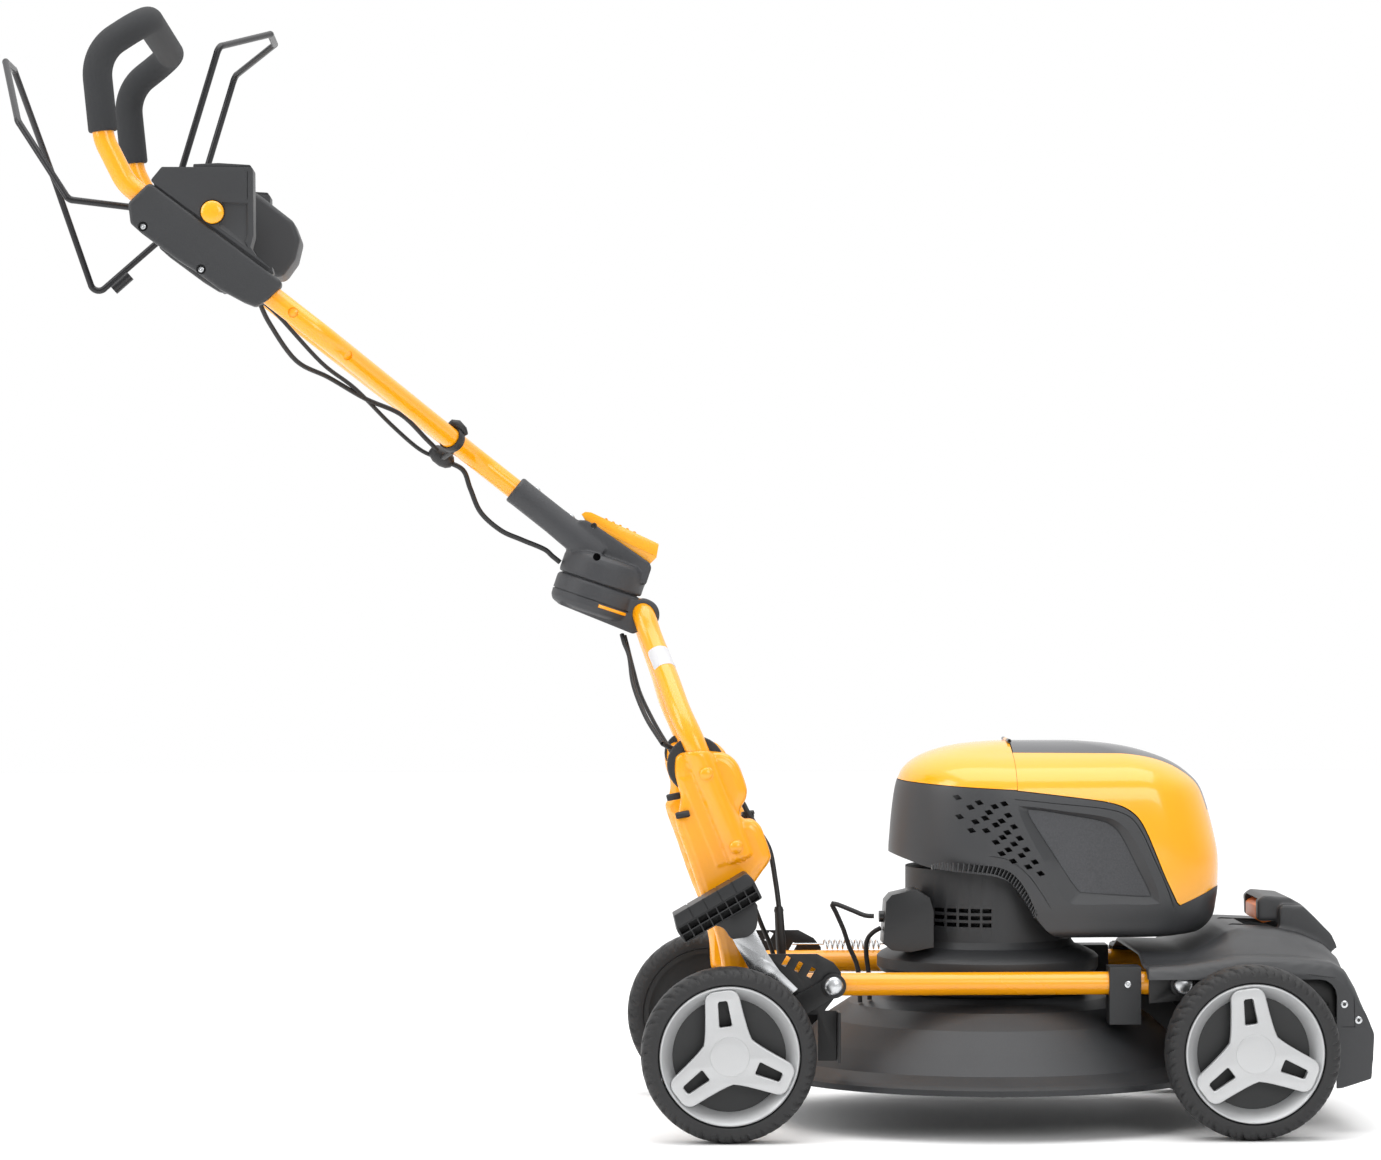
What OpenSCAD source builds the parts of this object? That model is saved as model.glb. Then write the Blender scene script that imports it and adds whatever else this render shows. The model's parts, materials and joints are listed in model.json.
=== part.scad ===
// Battery lawn mower with a swivelling handle.
// +X forward, +Y to the operator's left, +Z up. The origin is on the ground under the blade spindle.

/* [Wheels] */
// Outer diameter of each wheel
wheel_d = 180; // [170:1:190]
// Width of each wheel
wheel_w = 44; // [40:1:48]
// Distance between the outer faces of a wheel pair
track_w = 470; // [464:1:480]
// Front axle ahead of the spindle
front_axle_x = 251; // [249:1:256]
// Rear axle behind the spindle
rear_axle_x = 288; // [284:1:294]
// Diameter of the wheel axles
axle_d = 12; // [10:1:14]
// Radial running clearance of a hub or arm on its shaft
bush_fit = 0.05; // [0.03:0.01:0.1]

/* [Deck] */
// Radius of the deck rim
deck_r = 240; // [236:1:244]
// Height of the rim above the ground
deck_low = 48; // [44:1:52]
// Height of the flat top of the deck
deck_top = 134; // [132:1:138]
// Thickness of the deck sheet
deck_t = 3; // [2.5:0.5:4]
// Length of the cutting blade
blade_l = 420; // [380:5:424]
// Thickness of the cutting blade
blade_t = 4; // [3:0.5:5]

/* [Frame] */
// Diameter of the frame and handle tubes
tube_d = 24; // [22:0.5:26]
// Wall of the frame and handle tubes
tube_wall = 2; // [1.5:0.25:3]
// Distance from the middle to each frame tube
tube_y = 133; // [130:1:136]
// Height of the frame tubes
tube_z = 154; // [150:1:158]
// Distance of the carrier pivots from the spindle, rear and front
pivot_rear_x = 176; // [172:1:182]
pivot_front_x = 188; // [184:1:192]

/* [Motor housing] */
// Radius of the round housing at its belly
cowl_r = 113; // [108:1:116]
// Height of the underside of the housing
cowl_low = 198; // [194:1:204]
// Diameter of the base flange on the deck
flange_d = 236; // [226:1:240]
// Diameter of the blade spindle
spindle_d = 17; // [15:1:20]

/* [Handle] */
// Height of the swivel joint
joint_z = 569; // [560:1:580]
// Tilt of the swivel axis from the vertical, in degrees
swivel_tilt = 18.7; // [16:0.1:21]
// Radius of the swivel discs
joint_r = 44; // [40:1:46]
// Slope of the upper handle above the horizontal, in degrees
upper_slope = 38.3; // [36:0.1:40]
// Diameter of the upper handle tubes
stem_d = 22; // [20:0.5:24]
// Distance from the middle to each side of the grip loop
grip_y = 226; // [215:1:230]
// Diameter of the foam on the grip
foam_d = 30; // [28:0.5:33]
// Diameter of the wire of the two bails
bail_d = 7; // [6:0.5:8]

/* [Hidden] */
$fn = 48;
wheel_r = wheel_d / 2;
axle_z = wheel_r;
wheel_face = track_w / 2;
wheel_in = wheel_face - wheel_w;
rim_r = wheel_r - 17;
trim_r = wheel_r - 18;
gap = 0.3;
hub_r = 18;
tube_r = tube_d / 2;
stem_r = stem_d / 2;
plastic = "#4b4c4e";
black = "#1d1d1e";
yellow = "#ffb512";
silver = "#b4b5b6";
orange = "#f08a1c";

// A round rod bent along a path, with a true arc of the given radius at each bend.
module rod(path, d, bend = 20, facets = 24) {
    last = len(path) - 1;
    trim = [for (i = [0 : last])
        i == 0 || i == last ? 0 : bend * tan(turn(path, i) / 2)];
    // each straight run ends a little inside the arcs, which are a hair thicker
    for (i = [0 : last - 1]) {
        along = unit(path[i + 1] - path[i]);
        start = i == 0 ? 0 : trim[i] - 0.5;
        stop = i == last - 1 ? 0 : trim[i + 1] - 0.5;
        bar(path[i] + start * along, path[i + 1] - stop * along, d, facets);
    }
    for (i = [1 : 1 : last - 1]) {
        a = unit(path[i] - path[i - 1]);
        b = unit(path[i + 1] - path[i]);
        n = unit(b - (a * b) * a);
        c = path[i] - trim[i] * a + bend * n;
        z = cross(-n, a);
        multmatrix([[-n[0], a[0], z[0], c[0]], [-n[1], a[1], z[1], c[1]], [-n[2], a[2], z[2], c[2]],
                    [0, 0, 0, 1]])
            rotate_extrude(angle = turn(path, i), $fn = 48)
                translate([bend, 0]) circle(d = d + 0.2, $fn = facets);
    }
}

// The whole path of a rod that is the same on both sides of the middle plane.
function both_halves(path) = concat(path, [for (i = [len(path) - 1 : -1 : 0]) [path[i][0], -path[i][1], path[i][2]]]);
function turn(path, i) =
    acos(min(1, unit(path[i] - path[i - 1]) * unit(path[i + 1] - path[i])));
function unit(v) = v / norm(v);

// One straight round bar between two points.
module bar(a, b, d, facets = 20) {
    v = b - a;
    l = norm(v);
    translate(a)
        rotate([0, acos(v[2] / l), atan2(v[1], v[0])])
            cylinder(h = l, d = d, $fn = facets);
}

// Turns a child so that its Z runs along the swivel axis, at the swivel joint.
module at_joint() {
    translate([joint_x, 0, joint_z]) rotate([0, swivel_tilt, 0]) children();
}

// A copy on both sides of the middle plane.
module both_sides() {
    children();
    mirror([0, 1, 0]) children();
}

// A plate cut from a side outline, its near and far faces at y0 and y1.
module side_plate(y0, y1) {
    translate([0, y1, 0]) rotate([90, 0, 0]) linear_extrude(y1 - y0) children();
}

// ---- wheels: built flat, the outer face upwards, then set on edge ----
tread_lugs = 34;
trim_z = wheel_w - 8;
web_z = 14;

// Puts a wheel piece at its axle; side is -1 on the right and 1 on the left.
module at_wheel(x, side) {
    translate([x, side * wheel_in, axle_z]) scale([1, -side, 1]) rotate([90, 0, 0]) children();
}

module tread_ring() {
    difference() {
        circle(wheel_r, $fn = 96);
        for (i = [0 : tread_lugs - 1])
            rotate(i * 360 / tread_lugs) translate([wheel_r, 0]) square([5, 4.5], center = true);
    }
}

module tyre() {
    color(black) union() {
        rotate_extrude($fn = 96)
            polygon([[rim_r, 3], [wheel_r - 9, 0], [wheel_r - 4, 2], [wheel_r - 1.2, 8],
                     [wheel_r - 0.6, wheel_w / 2], [wheel_r - 1.2, wheel_w - 8], [wheel_r - 4, wheel_w - 2],
                     [wheel_r - 9, wheel_w], [rim_r, wheel_w - 3]]);
        for (z = [5, wheel_w - 14])
            translate([0, 0, z]) linear_extrude(9) difference() {
                tread_ring();
                circle(rim_r + 6, $fn = 96);
            }
    }
}

module wheel_core() {
    color(black) difference() {
        union() {
            difference() {
                translate([0, 0, 3]) cylinder(r = rim_r, h = trim_z - 3, $fn = 96);
                translate([0, 0, 1]) cylinder(r = rim_r - 5, h = web_z, $fn = 96);
                translate([0, 0, web_z + 5]) cylinder(r = rim_r - 5, h = wheel_w, $fn = 96);
            }
            translate([0, 0, 1]) cylinder(r = hub_r, h = trim_z - 1);
            for (i = [0 : 5])
                rotate(i * 60 + 30) translate([hub_r - 2, -1.5, 5])
                    cube([rim_r - hub_r - 1, 3, web_z - 2]);
        }
        translate([0, 0, -1]) cylinder(r = axle_d / 2 + bush_fit, h = wheel_w + 2);
    }
}

module wheel_trim() {
    color(silver) {
        translate([0, 0, trim_z]) difference() {
            union() {
                rotate_extrude($fn = 96)
                    polygon([[trim_r - 12, 0], [trim_r, 0], [trim_r, 4], [trim_r - 2, 6.5], [trim_r - 9, 6.5],
                             [trim_r - 12, 3]]);
                cylinder(r1 = 24, r2 = 21, h = 6.5);
                for (i = [0 : 2])
                    rotate(93 + i * 120) linear_extrude(5.5) difference() {
                        polygon([[10, -11], [30, -11.5], [trim_r - 11, -17], [trim_r - 11, 17], [30, 11.5], [10, 11]]);
                        polygon([[29, -3.6], [trim_r - 17, -7.5], [trim_r - 14, -4], [trim_r - 14, 4],
                                 [trim_r - 17, 7.5], [29, 3.6]]);
                    }
            }
            translate([0, 0, -1]) cylinder(r = axle_d / 2 + 2, h = 4);
        }
    }
}

module tyre_rear_right()    { at_wheel(-rear_axle_x, -1) tyre(); }
module tyre_rear_left()     { at_wheel(-rear_axle_x, 1) tyre(); }
module tyre_front_right()   { at_wheel(front_axle_x, -1) tyre(); }
module tyre_front_left()    { at_wheel(front_axle_x, 1) tyre(); }
module core_rear_right()    { at_wheel(-rear_axle_x, -1) wheel_core(); }
module core_rear_left()     { at_wheel(-rear_axle_x, 1) wheel_core(); }
module core_front_right()   { at_wheel(front_axle_x, -1) wheel_core(); }
module core_front_left()    { at_wheel(front_axle_x, 1) wheel_core(); }
module trim_rear_right()    { at_wheel(-rear_axle_x, -1) wheel_trim(); }
module trim_rear_left()     { at_wheel(-rear_axle_x, 1) wheel_trim(); }
module trim_front_right()   { at_wheel(front_axle_x, -1) wheel_trim(); }
module trim_front_left()    { at_wheel(front_axle_x, 1) wheel_trim(); }

// ---- deck, frame tubes and the brackets on them ----
spindle_hole = 42;

// The deck in section, from its flat top out to the rim.
deck_skin = [[deck_r - 135, deck_top], [deck_r - 112, deck_top - 3.5], [deck_r - 90, deck_top - 10],
             [deck_r - 66, deck_top - 26], [deck_r - 42, deck_top - 48], [deck_r - 22, deck_low + 18],
             [deck_r - 5, deck_low + 9], [deck_r, deck_low + 6]];

// A point at the given height over the deck sheet.
function on_deck(x, y, up) = [x, y, lookup(norm([x, y]), deck_skin) + up];

module deck_bowl() {
    outer = concat(deck_skin, [[deck_r, deck_low]]);
    inner = [for (i = [len(outer) - 1 : -1 : 0])
             outer[i] - [i == 0 ? 0 : deck_t, i == len(outer) - 1 ? 0 : deck_t]];
    color("#3c3d3f") rotate_extrude($fn = 96)
        polygon(concat([[spindle_hole, deck_top]], outer, inner, [[spindle_hole, deck_top - deck_t]]));
}

tube_back_x = -284;
tube_front_x = 300;
plate_t = 3;
plate_y = tube_y + tube_r + gap;
arm_t = 5;
arm_y = plate_y + plate_t + gap;
pin_d = 12;

module frame_tubes() {
    color(yellow) both_sides() difference() {
        translate([tube_back_x, tube_y, tube_z]) rotate([0, 90, 0])
            cylinder(d = tube_d, h = tube_front_x - tube_back_x);
        translate([tube_back_x - 1, tube_y, tube_z]) rotate([0, 90, 0])
            cylinder(d = tube_d - 2 * tube_wall, h = tube_front_x - tube_back_x + 2);
        for (x = [-pivot_rear_x, pivot_front_x])
            translate([x, tube_y - tube_d, tube_z]) rotate([-90, 0, 0]) cylinder(d = pin_d, h = 2 * tube_d);
    }
}

// The cross pin, dome head outside, on which a carrier arm turns.
module pivot_bolt(x) {
    translate([x, 0, tube_z]) rotate([-90, 0, 0]) {
        translate([0, 0, tube_y - tube_r - 3]) cylinder(d = pin_d, h = plate_y + plate_t + arm_t + 2 - tube_y + tube_r + 3);
        translate([0, 0, arm_y + arm_t + gap]) intersection() {
            cylinder(d = 20, h = 7);
            translate([0, 0, -6]) sphere(r = 13);
        }
    }
}

module pivot_bolts() {
    color("silver") both_sides() {
        pivot_bolt(-pivot_rear_x);
        pivot_bolt(pivot_front_x);
    }
    knuckle_bolts();
}

// Rear plates: bolted outside the tubes, with the index slots for the height pawl.
module rear_plates() {
    x0 = -pivot_rear_x;
    color(black) both_sides() {
        difference() {
            side_plate(plate_y, plate_y + plate_t)
                polygon([[x0 - 78, tube_z + 33], [x0 - 17, tube_z + 33], [x0, tube_z + 24], [x0 + 8, tube_z + 14],
                         [x0 + 8, tube_z - 4], [x0 - 2, tube_z - 17], [x0 - 12, tube_z - 30], [x0 - 30, tube_z - 30],
                         [x0 - 62, tube_z - 10], [x0 - 78, tube_z + 12]]);
            translate([x0, plate_y - 1, tube_z]) rotate([-90, 0, 0]) cylinder(d = pin_d, h = plate_t + 2);
            for (i = [0 : 2])
                translate([x0 - 54 + i * 13, plate_y - 1, tube_z + 22 - i * 6])
                    rotate([0, 30, 0]) cube([5, plate_t + 2, 11], center = false);
        }
        // folded foot that is screwed down on the deck
        difference() {
            translate([x0 - 16, plate_y, deck_low + 28]) cube([22, 28, tube_z - 30 - deck_low - 28 + 4]);
            translate([x0 - 20, plate_y + plate_t, deck_low + 20]) cube([23, 40, tube_z]);
        }
    }
    // lug that holds the end of the drive cable
    color(black) translate([x0 - 56, -plate_y - 1, tube_z + tube_r + gap]) cube([14, plate_y - 97, 5]);
}

// Front side plates: they carry the front pivots and the front cover.
module front_plates() {
    color(black) both_sides() difference() {
        side_plate(plate_y, plate_y + plate_t)
            polygon([[153, tube_z + 20], [pivot_front_x, tube_z + 20], [204, tube_z + 12], [309, tube_z + 12],
                     [345, tube_z + 4], [358, tube_z - 8], [358, 118], [343, 118], [340, tube_z - 20],
                     [204, tube_z - 16], [153, tube_z - 20]]);
        translate([pivot_front_x, plate_y - 1, tube_z]) rotate([-90, 0, 0]) cylinder(d = pin_d, h = plate_t + 2);
    }
}

// Two half shells that clamp each frame tube to the deck ahead of the motor.
module tube_clamps() {
    color(black) both_sides() difference() {
        translate([112, tube_y - tube_r - 4, deck_top - 22]) cube([33, tube_d + 7, tube_z + 18 - deck_top + 22]);
        translate([110, tube_y, tube_z]) rotate([0, 90, 0]) cylinder(d = tube_d, h = 40);
        rotate_extrude($fn = 96) polygon([[0, 0], [deck_r, 0], deck_skin[3], deck_skin[2], deck_skin[1], deck_skin[0],
                                          [0, deck_top]]);
    }
}

// One trailing arm pair with its axle bosses; dx, dz lead from the pivot to the axle.
module carrier_arms(x_pivot, x_axle) {
    dx = x_axle - x_pivot;
    dz = axle_z - tube_z;
    both_sides() translate([x_pivot, arm_y, tube_z]) difference() {
        union() {
            rotate([-90, 0, 0]) cylinder(r = 13, h = arm_t);
            translate([dx, 0, dz]) rotate([-90, 0, 0]) cylinder(r = 16, h = arm_t);
            rotate([0, -atan2(dz, dx), 0]) translate([0, 0.1, -11]) cube([norm([dx, dz]), arm_t - 0.2, 22]);
            translate([dx, 0, dz]) rotate([-90, 0, 0]) cylinder(r = 11, h = wheel_in - arm_y);
        }
        translate([0, -1, 0]) rotate([-90, 0, 0]) cylinder(r = pin_d / 2 + bush_fit, h = arm_t + 2);
        translate([dx, -1, dz]) rotate([-90, 0, 0]) cylinder(d = axle_d, h = wheel_w + arm_t + 40);
    }
    // the cross bar that ties the two arms behind, or ahead of, the deck
    side = sign(dx);
    translate([x_axle + side * 2, 0, axle_z + 16]) rotate([90, 0, 0])
        cylinder(r = 7, h = 2 * arm_y + 2, center = true);
}

module axle(x) {
    end = wheel_in + trim_z + 1.5;
    color(silver) translate([x, 0, axle_z]) rotate([90, 0, 0]) cylinder(d = axle_d, h = 2 * end, center = true);
}

module rear_arms() {
    color(black) carrier_arms(-pivot_rear_x, -rear_axle_x);
    pedal_bracket();
}
module front_arms() { color(black) carrier_arms(pivot_front_x, front_axle_x); }
module rear_axle() { axle(-rear_axle_x); }
module front_axle() { axle(front_axle_x); }

// ---- height pedal on the right-hand rear arm ----
pawl_x = -251;
pawl_z = 175;
pawl_y = -(arm_y + arm_t);

// Upright on the arm that carries the pedal's pivot.
module pedal_bracket() {
    color("silver") difference() {
        side_plate(pawl_y - 4, pawl_y)
            polygon([[pawl_x - 14, pawl_z - 62], [pawl_x + 12, pawl_z - 50], [pawl_x + 10, pawl_z + 6],
                     [pawl_x + 4, pawl_z + 10], [pawl_x - 6, pawl_z + 10], [pawl_x - 12, pawl_z + 4]]);
        translate([pawl_x, 0, pawl_z]) rotate([90, 0, 0]) cylinder(r = 4, h = 200);
    }
}

module pedal_lever() {
    y0 = pawl_y - 4 - gap;
    color("silver") {
        difference() {
            side_plate(y0 - 4, y0)
                polygon([[-282, 205], [-259, 216], [-246, 190], [-238, 178], [-233, 171], [-214, 152], [-220, 147],
                         [-242, 164], [-254, 164], [-264, 172]]);
            translate([pawl_x, 0, pawl_z]) rotate([90, 0, 0]) cylinder(r = 4, h = 200);
        }
        translate([pawl_x, pawl_y + 1, pawl_z]) rotate([90, 0, 0]) cylinder(r = 4 - bush_fit, h = 14);
        translate([pawl_x, y0 - 4, pawl_z]) rotate([90, 0, 0]) cylinder(r = 8, h = 5);
    }
}

pedal_w = 46;

module pedal_tread() {
    y0 = -205;
    color(black) difference() {
        translate([0, y0, 0]) union() {
            side_plate(0, pedal_w)
                polygon([[-344, 232], [-270, 275], [-262, 268], [-253, 250], [-283, 232], [-332, 203], [-340, 214]]);
            side_plate(pedal_w / 2 - 2, pawl_y - 4 - gap - 4 - y0)
                polygon([[-300, 225], [-258, 246], [-252, 222], [-266, 208], [-284, 206]]);
        }
        for (i = [0 : 4])
            translate([-337 + i * 15, y0 - 1, 218 + i * 8.6]) rotate([0, -30, 0])
                translate([0, 0, -1]) cube([9.5, 7, 9]);
    }
}

// ---- front cover with the carry handle ----
cover_y = 166;
cover_t = 3;

module cover_outline(grow) {
    rear = grow < 0 ? 100 : 150;
    polygon([[rear, tube_z + 16], [rear + 3, 182 + grow], [199, 183 + grow], [227, 190 + grow], [246, 205 + grow],
             [268, 208 + grow], [300, 206 + grow], [340, 197 + grow], [358 + grow, 179 + grow], [372 + grow, 148],
             [379 + grow, 118], [388 + grow, 104], [385 + grow, 54], [352, 45 + grow], [rear, 45 + grow]]);
}

// The rounded front view that the side outline is cut to.
module cover_front(grow) {
    y = cover_y + grow;
    translate([100, 0, 0]) rotate([90, 0, 90]) linear_extrude(320)
        polygon([for (side = [-1, 1], i = [0 : 6])
            [[y, 30], [y, 158], [y - 5, 172], [y - 18, 182 + grow], [118 + grow, 190 + grow],
             [98 + grow, 220 + grow], [60, 224 + grow]][side < 0 ? i : 6 - i] * [[-side, 0], [0, 1]]]);
}

module front_cover() {
    color("#48494b") carry_handle();
    color("#48494b") difference() {
        intersection() {
            side_plate(-200, 200) cover_outline(0);
            cover_front(0);
        }
        intersection() {
            side_plate(-200, 200) cover_outline(-cover_t);
            cover_front(-cover_t);
            translate([0, -200, 0]) cube([376, 400, 300]);
        }
        // the body stays a roof and a nose: its sides are cut away round the wheels and the deck
        translate([100, -200, 0]) cube([246, 400, tube_z + 2]);
        translate([0, 0, -1]) cylinder(r = flange_r + 2, h = 300, $fn = 96);
        for (y = [-40, 40])
            translate([262, y, 150]) cylinder(r = 9, h = 100);
        translate([272, -46, 150]) cube([62, 92, 100]);
    }
}

// Carry handle: two cheeks and the bar between them, over the well in the cover.
module carry_handle() {
    both_sides() side_plate(48, 62)
        polygon([[268, 202], [281, 217], [281, 232], [292, 239], [323, 236], [334, 226], [357, 202], [362, 174],
                 [330, 190], [300, 200]]);
    difference() {
        side_plate(-48, 48)
            polygon([[322, 205], [306, 226], [306, 236], [312, 238], [323, 236], [334, 226], [357, 202],
                     [362, 176], [352, 176]]);
        translate([325, -42, 180]) rotate([0, 35, 0]) cube([12, 84, 40]);
    }
}

module front_latch() {
    color(orange) {
        side_plate(-34, 34) polygon([[283, 212], [283, 226], [291, 232], [300, 230], [303, 222], [300, 210], [291, 208]]);
        translate([296, 0, 217]) rotate([90, 0, 0]) cylinder(r = 3, h = 2 * 48 - 2 * gap, center = true);
    }
}

// ---- motor, spindle and blade ----
// the flange stays clear of the frame tubes
flange_r = min(flange_d / 2, tube_y - tube_r - 1);
flange_low = 156;
flange_top = 182;
neck_r = 88;
bearing_r = 20;
spindle_r = spindle_d / 2;
neck_top = 268;

module motor_base() {
    color("#454648") difference() {
        union() {
            rotate_extrude($fn = 96)
                polygon([[0, deck_top], [100, deck_top], [106, deck_top + 6], [108, flange_low], [flange_r - 4, flange_low],
                         [flange_r, flange_low + 5], [flange_r, flange_low + 16], [flange_r - 4, flange_low + 20],
                         [neck_r + 14, flange_top], [neck_r + 5, flange_top + 3], [neck_r, flange_top + 10],
                         [neck_r, neck_top], [0, neck_top]]);
            translate([0, 0, 94]) cylinder(r = 38, h = deck_top - 94);
        }
        // stator chamber and the bearing seats
        translate([0, 0, deck_top + 14]) cylinder(r = neck_r - 16, h = neck_top - deck_top - 14 - 16);
        translate([0, 0, 96]) cylinder(r = bearing_r, h = 14);
        translate([0, 0, 90]) cylinder(r = bearing_r - 5, h = 300);
        translate([0, 0, neck_top - 20]) cylinder(r = bearing_r, h = 14);
        // louvres on the right
        for (row = [0 : 2], col = [0 : 5])
            translate([-74.5 + col * 12, -neck_r, 208.5 + row * 7.5]) rotate([90, 0, 0])
                translate([0, 0, -54]) cube([9.5, 4.4, 60]);
    }
}

module motor_bearings() {
    color("silver") for (z = [96, neck_top - 20])
        translate([0, 0, z]) difference() {
            cylinder(r = bearing_r, h = 14);
            translate([0, 0, -1]) cylinder(r = spindle_r + bush_fit, h = 16);
        }
}

stator_z = deck_top + 20;
stator_h = 70;

module stator() {
    color("#8a4b22") translate([0, 0, stator_z]) difference() {
        cylinder(r = neck_r - 16, h = stator_h);
        translate([0, 0, -1]) cylinder(r = 36, h = stator_h + 2);
        for (i = [0 : 11])
            rotate(i * 30) translate([48, 0, -1]) cylinder(r = 7, h = stator_h + 2);
    }
}

module rotor() {
    color("#77797c") translate([0, 0, stator_z + 2]) difference() {
        cylinder(r = 35, h = stator_h - 4);
        translate([0, 0, -1]) cylinder(r = spindle_r, h = stator_h);
    }
}

blade_z = deck_low + 6;

module spindle() {
    color("silver") {
        translate([0, 0, blade_z + blade_t]) cylinder(r = spindle_r, h = neck_top - 8 - blade_z - blade_t);
        translate([0, 0, blade_z - 2]) cylinder(r = 5, h = 30);
    }
}

module blade_hub() {
    color("#6a6b6e") difference() {
        union() {
            translate([0, 0, blade_z + blade_t]) cylinder(r = 28, h = 6);
            translate([0, 0, blade_z + blade_t]) cylinder(r = 15, h = 30);
        }
        translate([0, 0, blade_z]) cylinder(r = spindle_r, h = 60);
    }
}

// Mulching blade: a flat bar with two raised trailing edges and two ground cutting edges.
module blade() {
    l = min(blade_l / 2, deck_r - 28);
    color("#5c5d60") difference() {
        union() {
            translate([-l, -26, blade_z]) cube([2 * l, 52, blade_t]);
            for (a = [0, 180])
                rotate(a) translate([l - 95, 20, blade_z]) rotate([32, 0, 0]) cube([88, 22, blade_t]);
        }
        for (a = [0, 180])
            rotate(a) translate([l - 110, -27, blade_z - 3]) rotate([-38, 0, 0]) cube([130, 8, 7]);
        difference() {
            translate([0, 0, blade_z - 5]) cylinder(r = l + 60, h = 60);
            translate([0, 0, blade_z - 6]) cylinder(r = l, h = 62, $fn = 96);
        }
        translate([0, 0, blade_z - 1]) cylinder(r = 5, h = blade_t + 2);
    }
}

module blade_bolt() {
    color("silver") difference() {
        translate([0, 0, blade_z - 10]) union() {
            cylinder(r = 11, h = 7, $fn = 6);
            translate([0, 0, 7]) cylinder(r = 18, h = 3);
        }
        translate([0, 0, blade_z - 2]) cylinder(r = 5, h = 4);
    }
}

// ---- motor and battery housing ----
shell_t = 4;
seam = 0.6;
lid_x = 20;

// One level of the housing in plan: its rear, its front and its half width.
module level(z, rear, front, half, inset = 0) {
    translate([0, 0, z]) linear_extrude(0.5) {
        r = half - inset;
        translate([rear + half, 0]) circle(r);
        front_r = half * 0.62;
        for (side = [-1, 1])
            translate([front - front_r, side * (half - front_r - 6)]) circle(front_r - inset);
    }
}

// The whole housing as one smooth convex body, or the space inside it.
module housing(inset = 0) {
    w = cowl_r;
    $fn = 30;
    hull() {
        level(cowl_low + inset, -40, 205, w - 16, inset);
        level(cowl_low + 18, -70, 235, w - 6, inset);
        level(252, -102, 241, w, inset);
        level(280, -106, 241, w, inset);
        level(303, -105, 237, w, inset);
        level(334, -102, 229, w - 2, inset);
        level(357, -98, 220, w - 6, inset);
        level(378, -86, 198, w - 16, inset);
        level(391, -62, 164, w - 32, inset);
        level(401 - inset, -20, 110, w - 62, inset);
    }
}

// Side outline of everything that lies behind or below the battery lid's edge.
module body_side(grow) {
    polygon([[-200, 150], [300, 150], [300, 250 + grow], [186 + grow, 240 + grow], [168 + grow, 290],
             [155 + grow, 318], [141, 333 + grow], [121, 340 + grow], [86, 347 + grow], [lid_x, 353 + grow],
             [lid_x, 500], [-200, 500]]);
}

module lid_side() {
    polygon([[lid_x, 500], [lid_x, 353], [86, 347], [121, 340], [141, 333], [155, 318], [168, 290], [186, 240],
             [300, 250], [300, 500]]);
}

// The curved undercut behind the battery bay, over the motor neck.
module undercut_side() {
    polygon([[-200, 100], [-200, 282], [-104, 282], [-98, 272], [-72, 270], [4, 270], [16, 262], [24, 250],
             [42, 222], [56, 206], [70, 200], [90, cowl_low - 2], [90, 100]]);
}

bay_x = 96;
bay_w = 84;

module housing_body() {
    color(plastic) for (x = [-58, 66], y = [-48, 48])
        translate([x, y, 299]) cylinder(r = 4, h = 7);
    color(plastic) difference() {
        housing();
        side_plate(-200, 200) lid_side();
        side_plate(-200, 200) undercut_side();
        // the motor neck stands in the housing
        translate([0, 0, 100]) cylinder(r = neck_r + gap, h = neck_top + gap - 100, $fn = 96);
        // seat of the rear cap
        translate([-200, -200, 357]) cube([200 + lid_x + 1, 400, 100]);
        // battery bay, open upwards
        translate([bay_x, -bay_w, cowl_low + 12]) cube([112, 2 * bay_w, 300]);
        // room for the control board
        translate([-70, -60, 300]) cube([150, 120, 100]);
        // diamond air slots on the right
        for (row = [0 : 5], col = [0 : 6])
            if (col - row < 4 && row - col < 3)
                translate([-44 + col * 13, -cowl_r - 8, 342 - row * 11 - col * 2]) rotate([0, 45, 0])
                    cube([5, 14, 5]);
        // service slot along the undercut
        translate([-71, -cowl_r - 4, 284]) cube([74, 10, 3]);
    }
}

// The lid hinge: knuckles on a pin across the top of the seam.
hinge_z = 402;
knuckle_r = 2.2;
hinge_pin_r = 1;
hinge_mid = 12;
hinge_end = 30;

module at_hinge(y) {
    translate([lid_x, y, hinge_z]) rotate([90, 0, 0]) children();
}

module rear_cap() {
    color(yellow) difference() {
        housing();
        translate([-200, -200, 0]) cube([600, 400, 357 + seam]);
        translate([lid_x - seam, -200, 0]) cube([600, 400, 500]);
        housing(shell_t);
        both_sides() at_hinge(-hinge_mid) cylinder(r = knuckle_r + gap, h = hinge_end - hinge_mid + 1);
    }
    color(yellow) {
        at_hinge(hinge_mid) cylinder(r = knuckle_r, h = 2 * hinge_mid);
        at_hinge(hinge_end) cylinder(r = hinge_pin_r, h = 2 * hinge_end);
    }
}

module lid_shell() {
    color(yellow) difference() {
        housing();
        housing(shell_t);
        side_plate(-200, 200) body_side(seam);
        translate([lid_x - 5, -58 - seam, 300]) cube([300, 116 + 2 * seam, 200]);
    }
}

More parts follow.
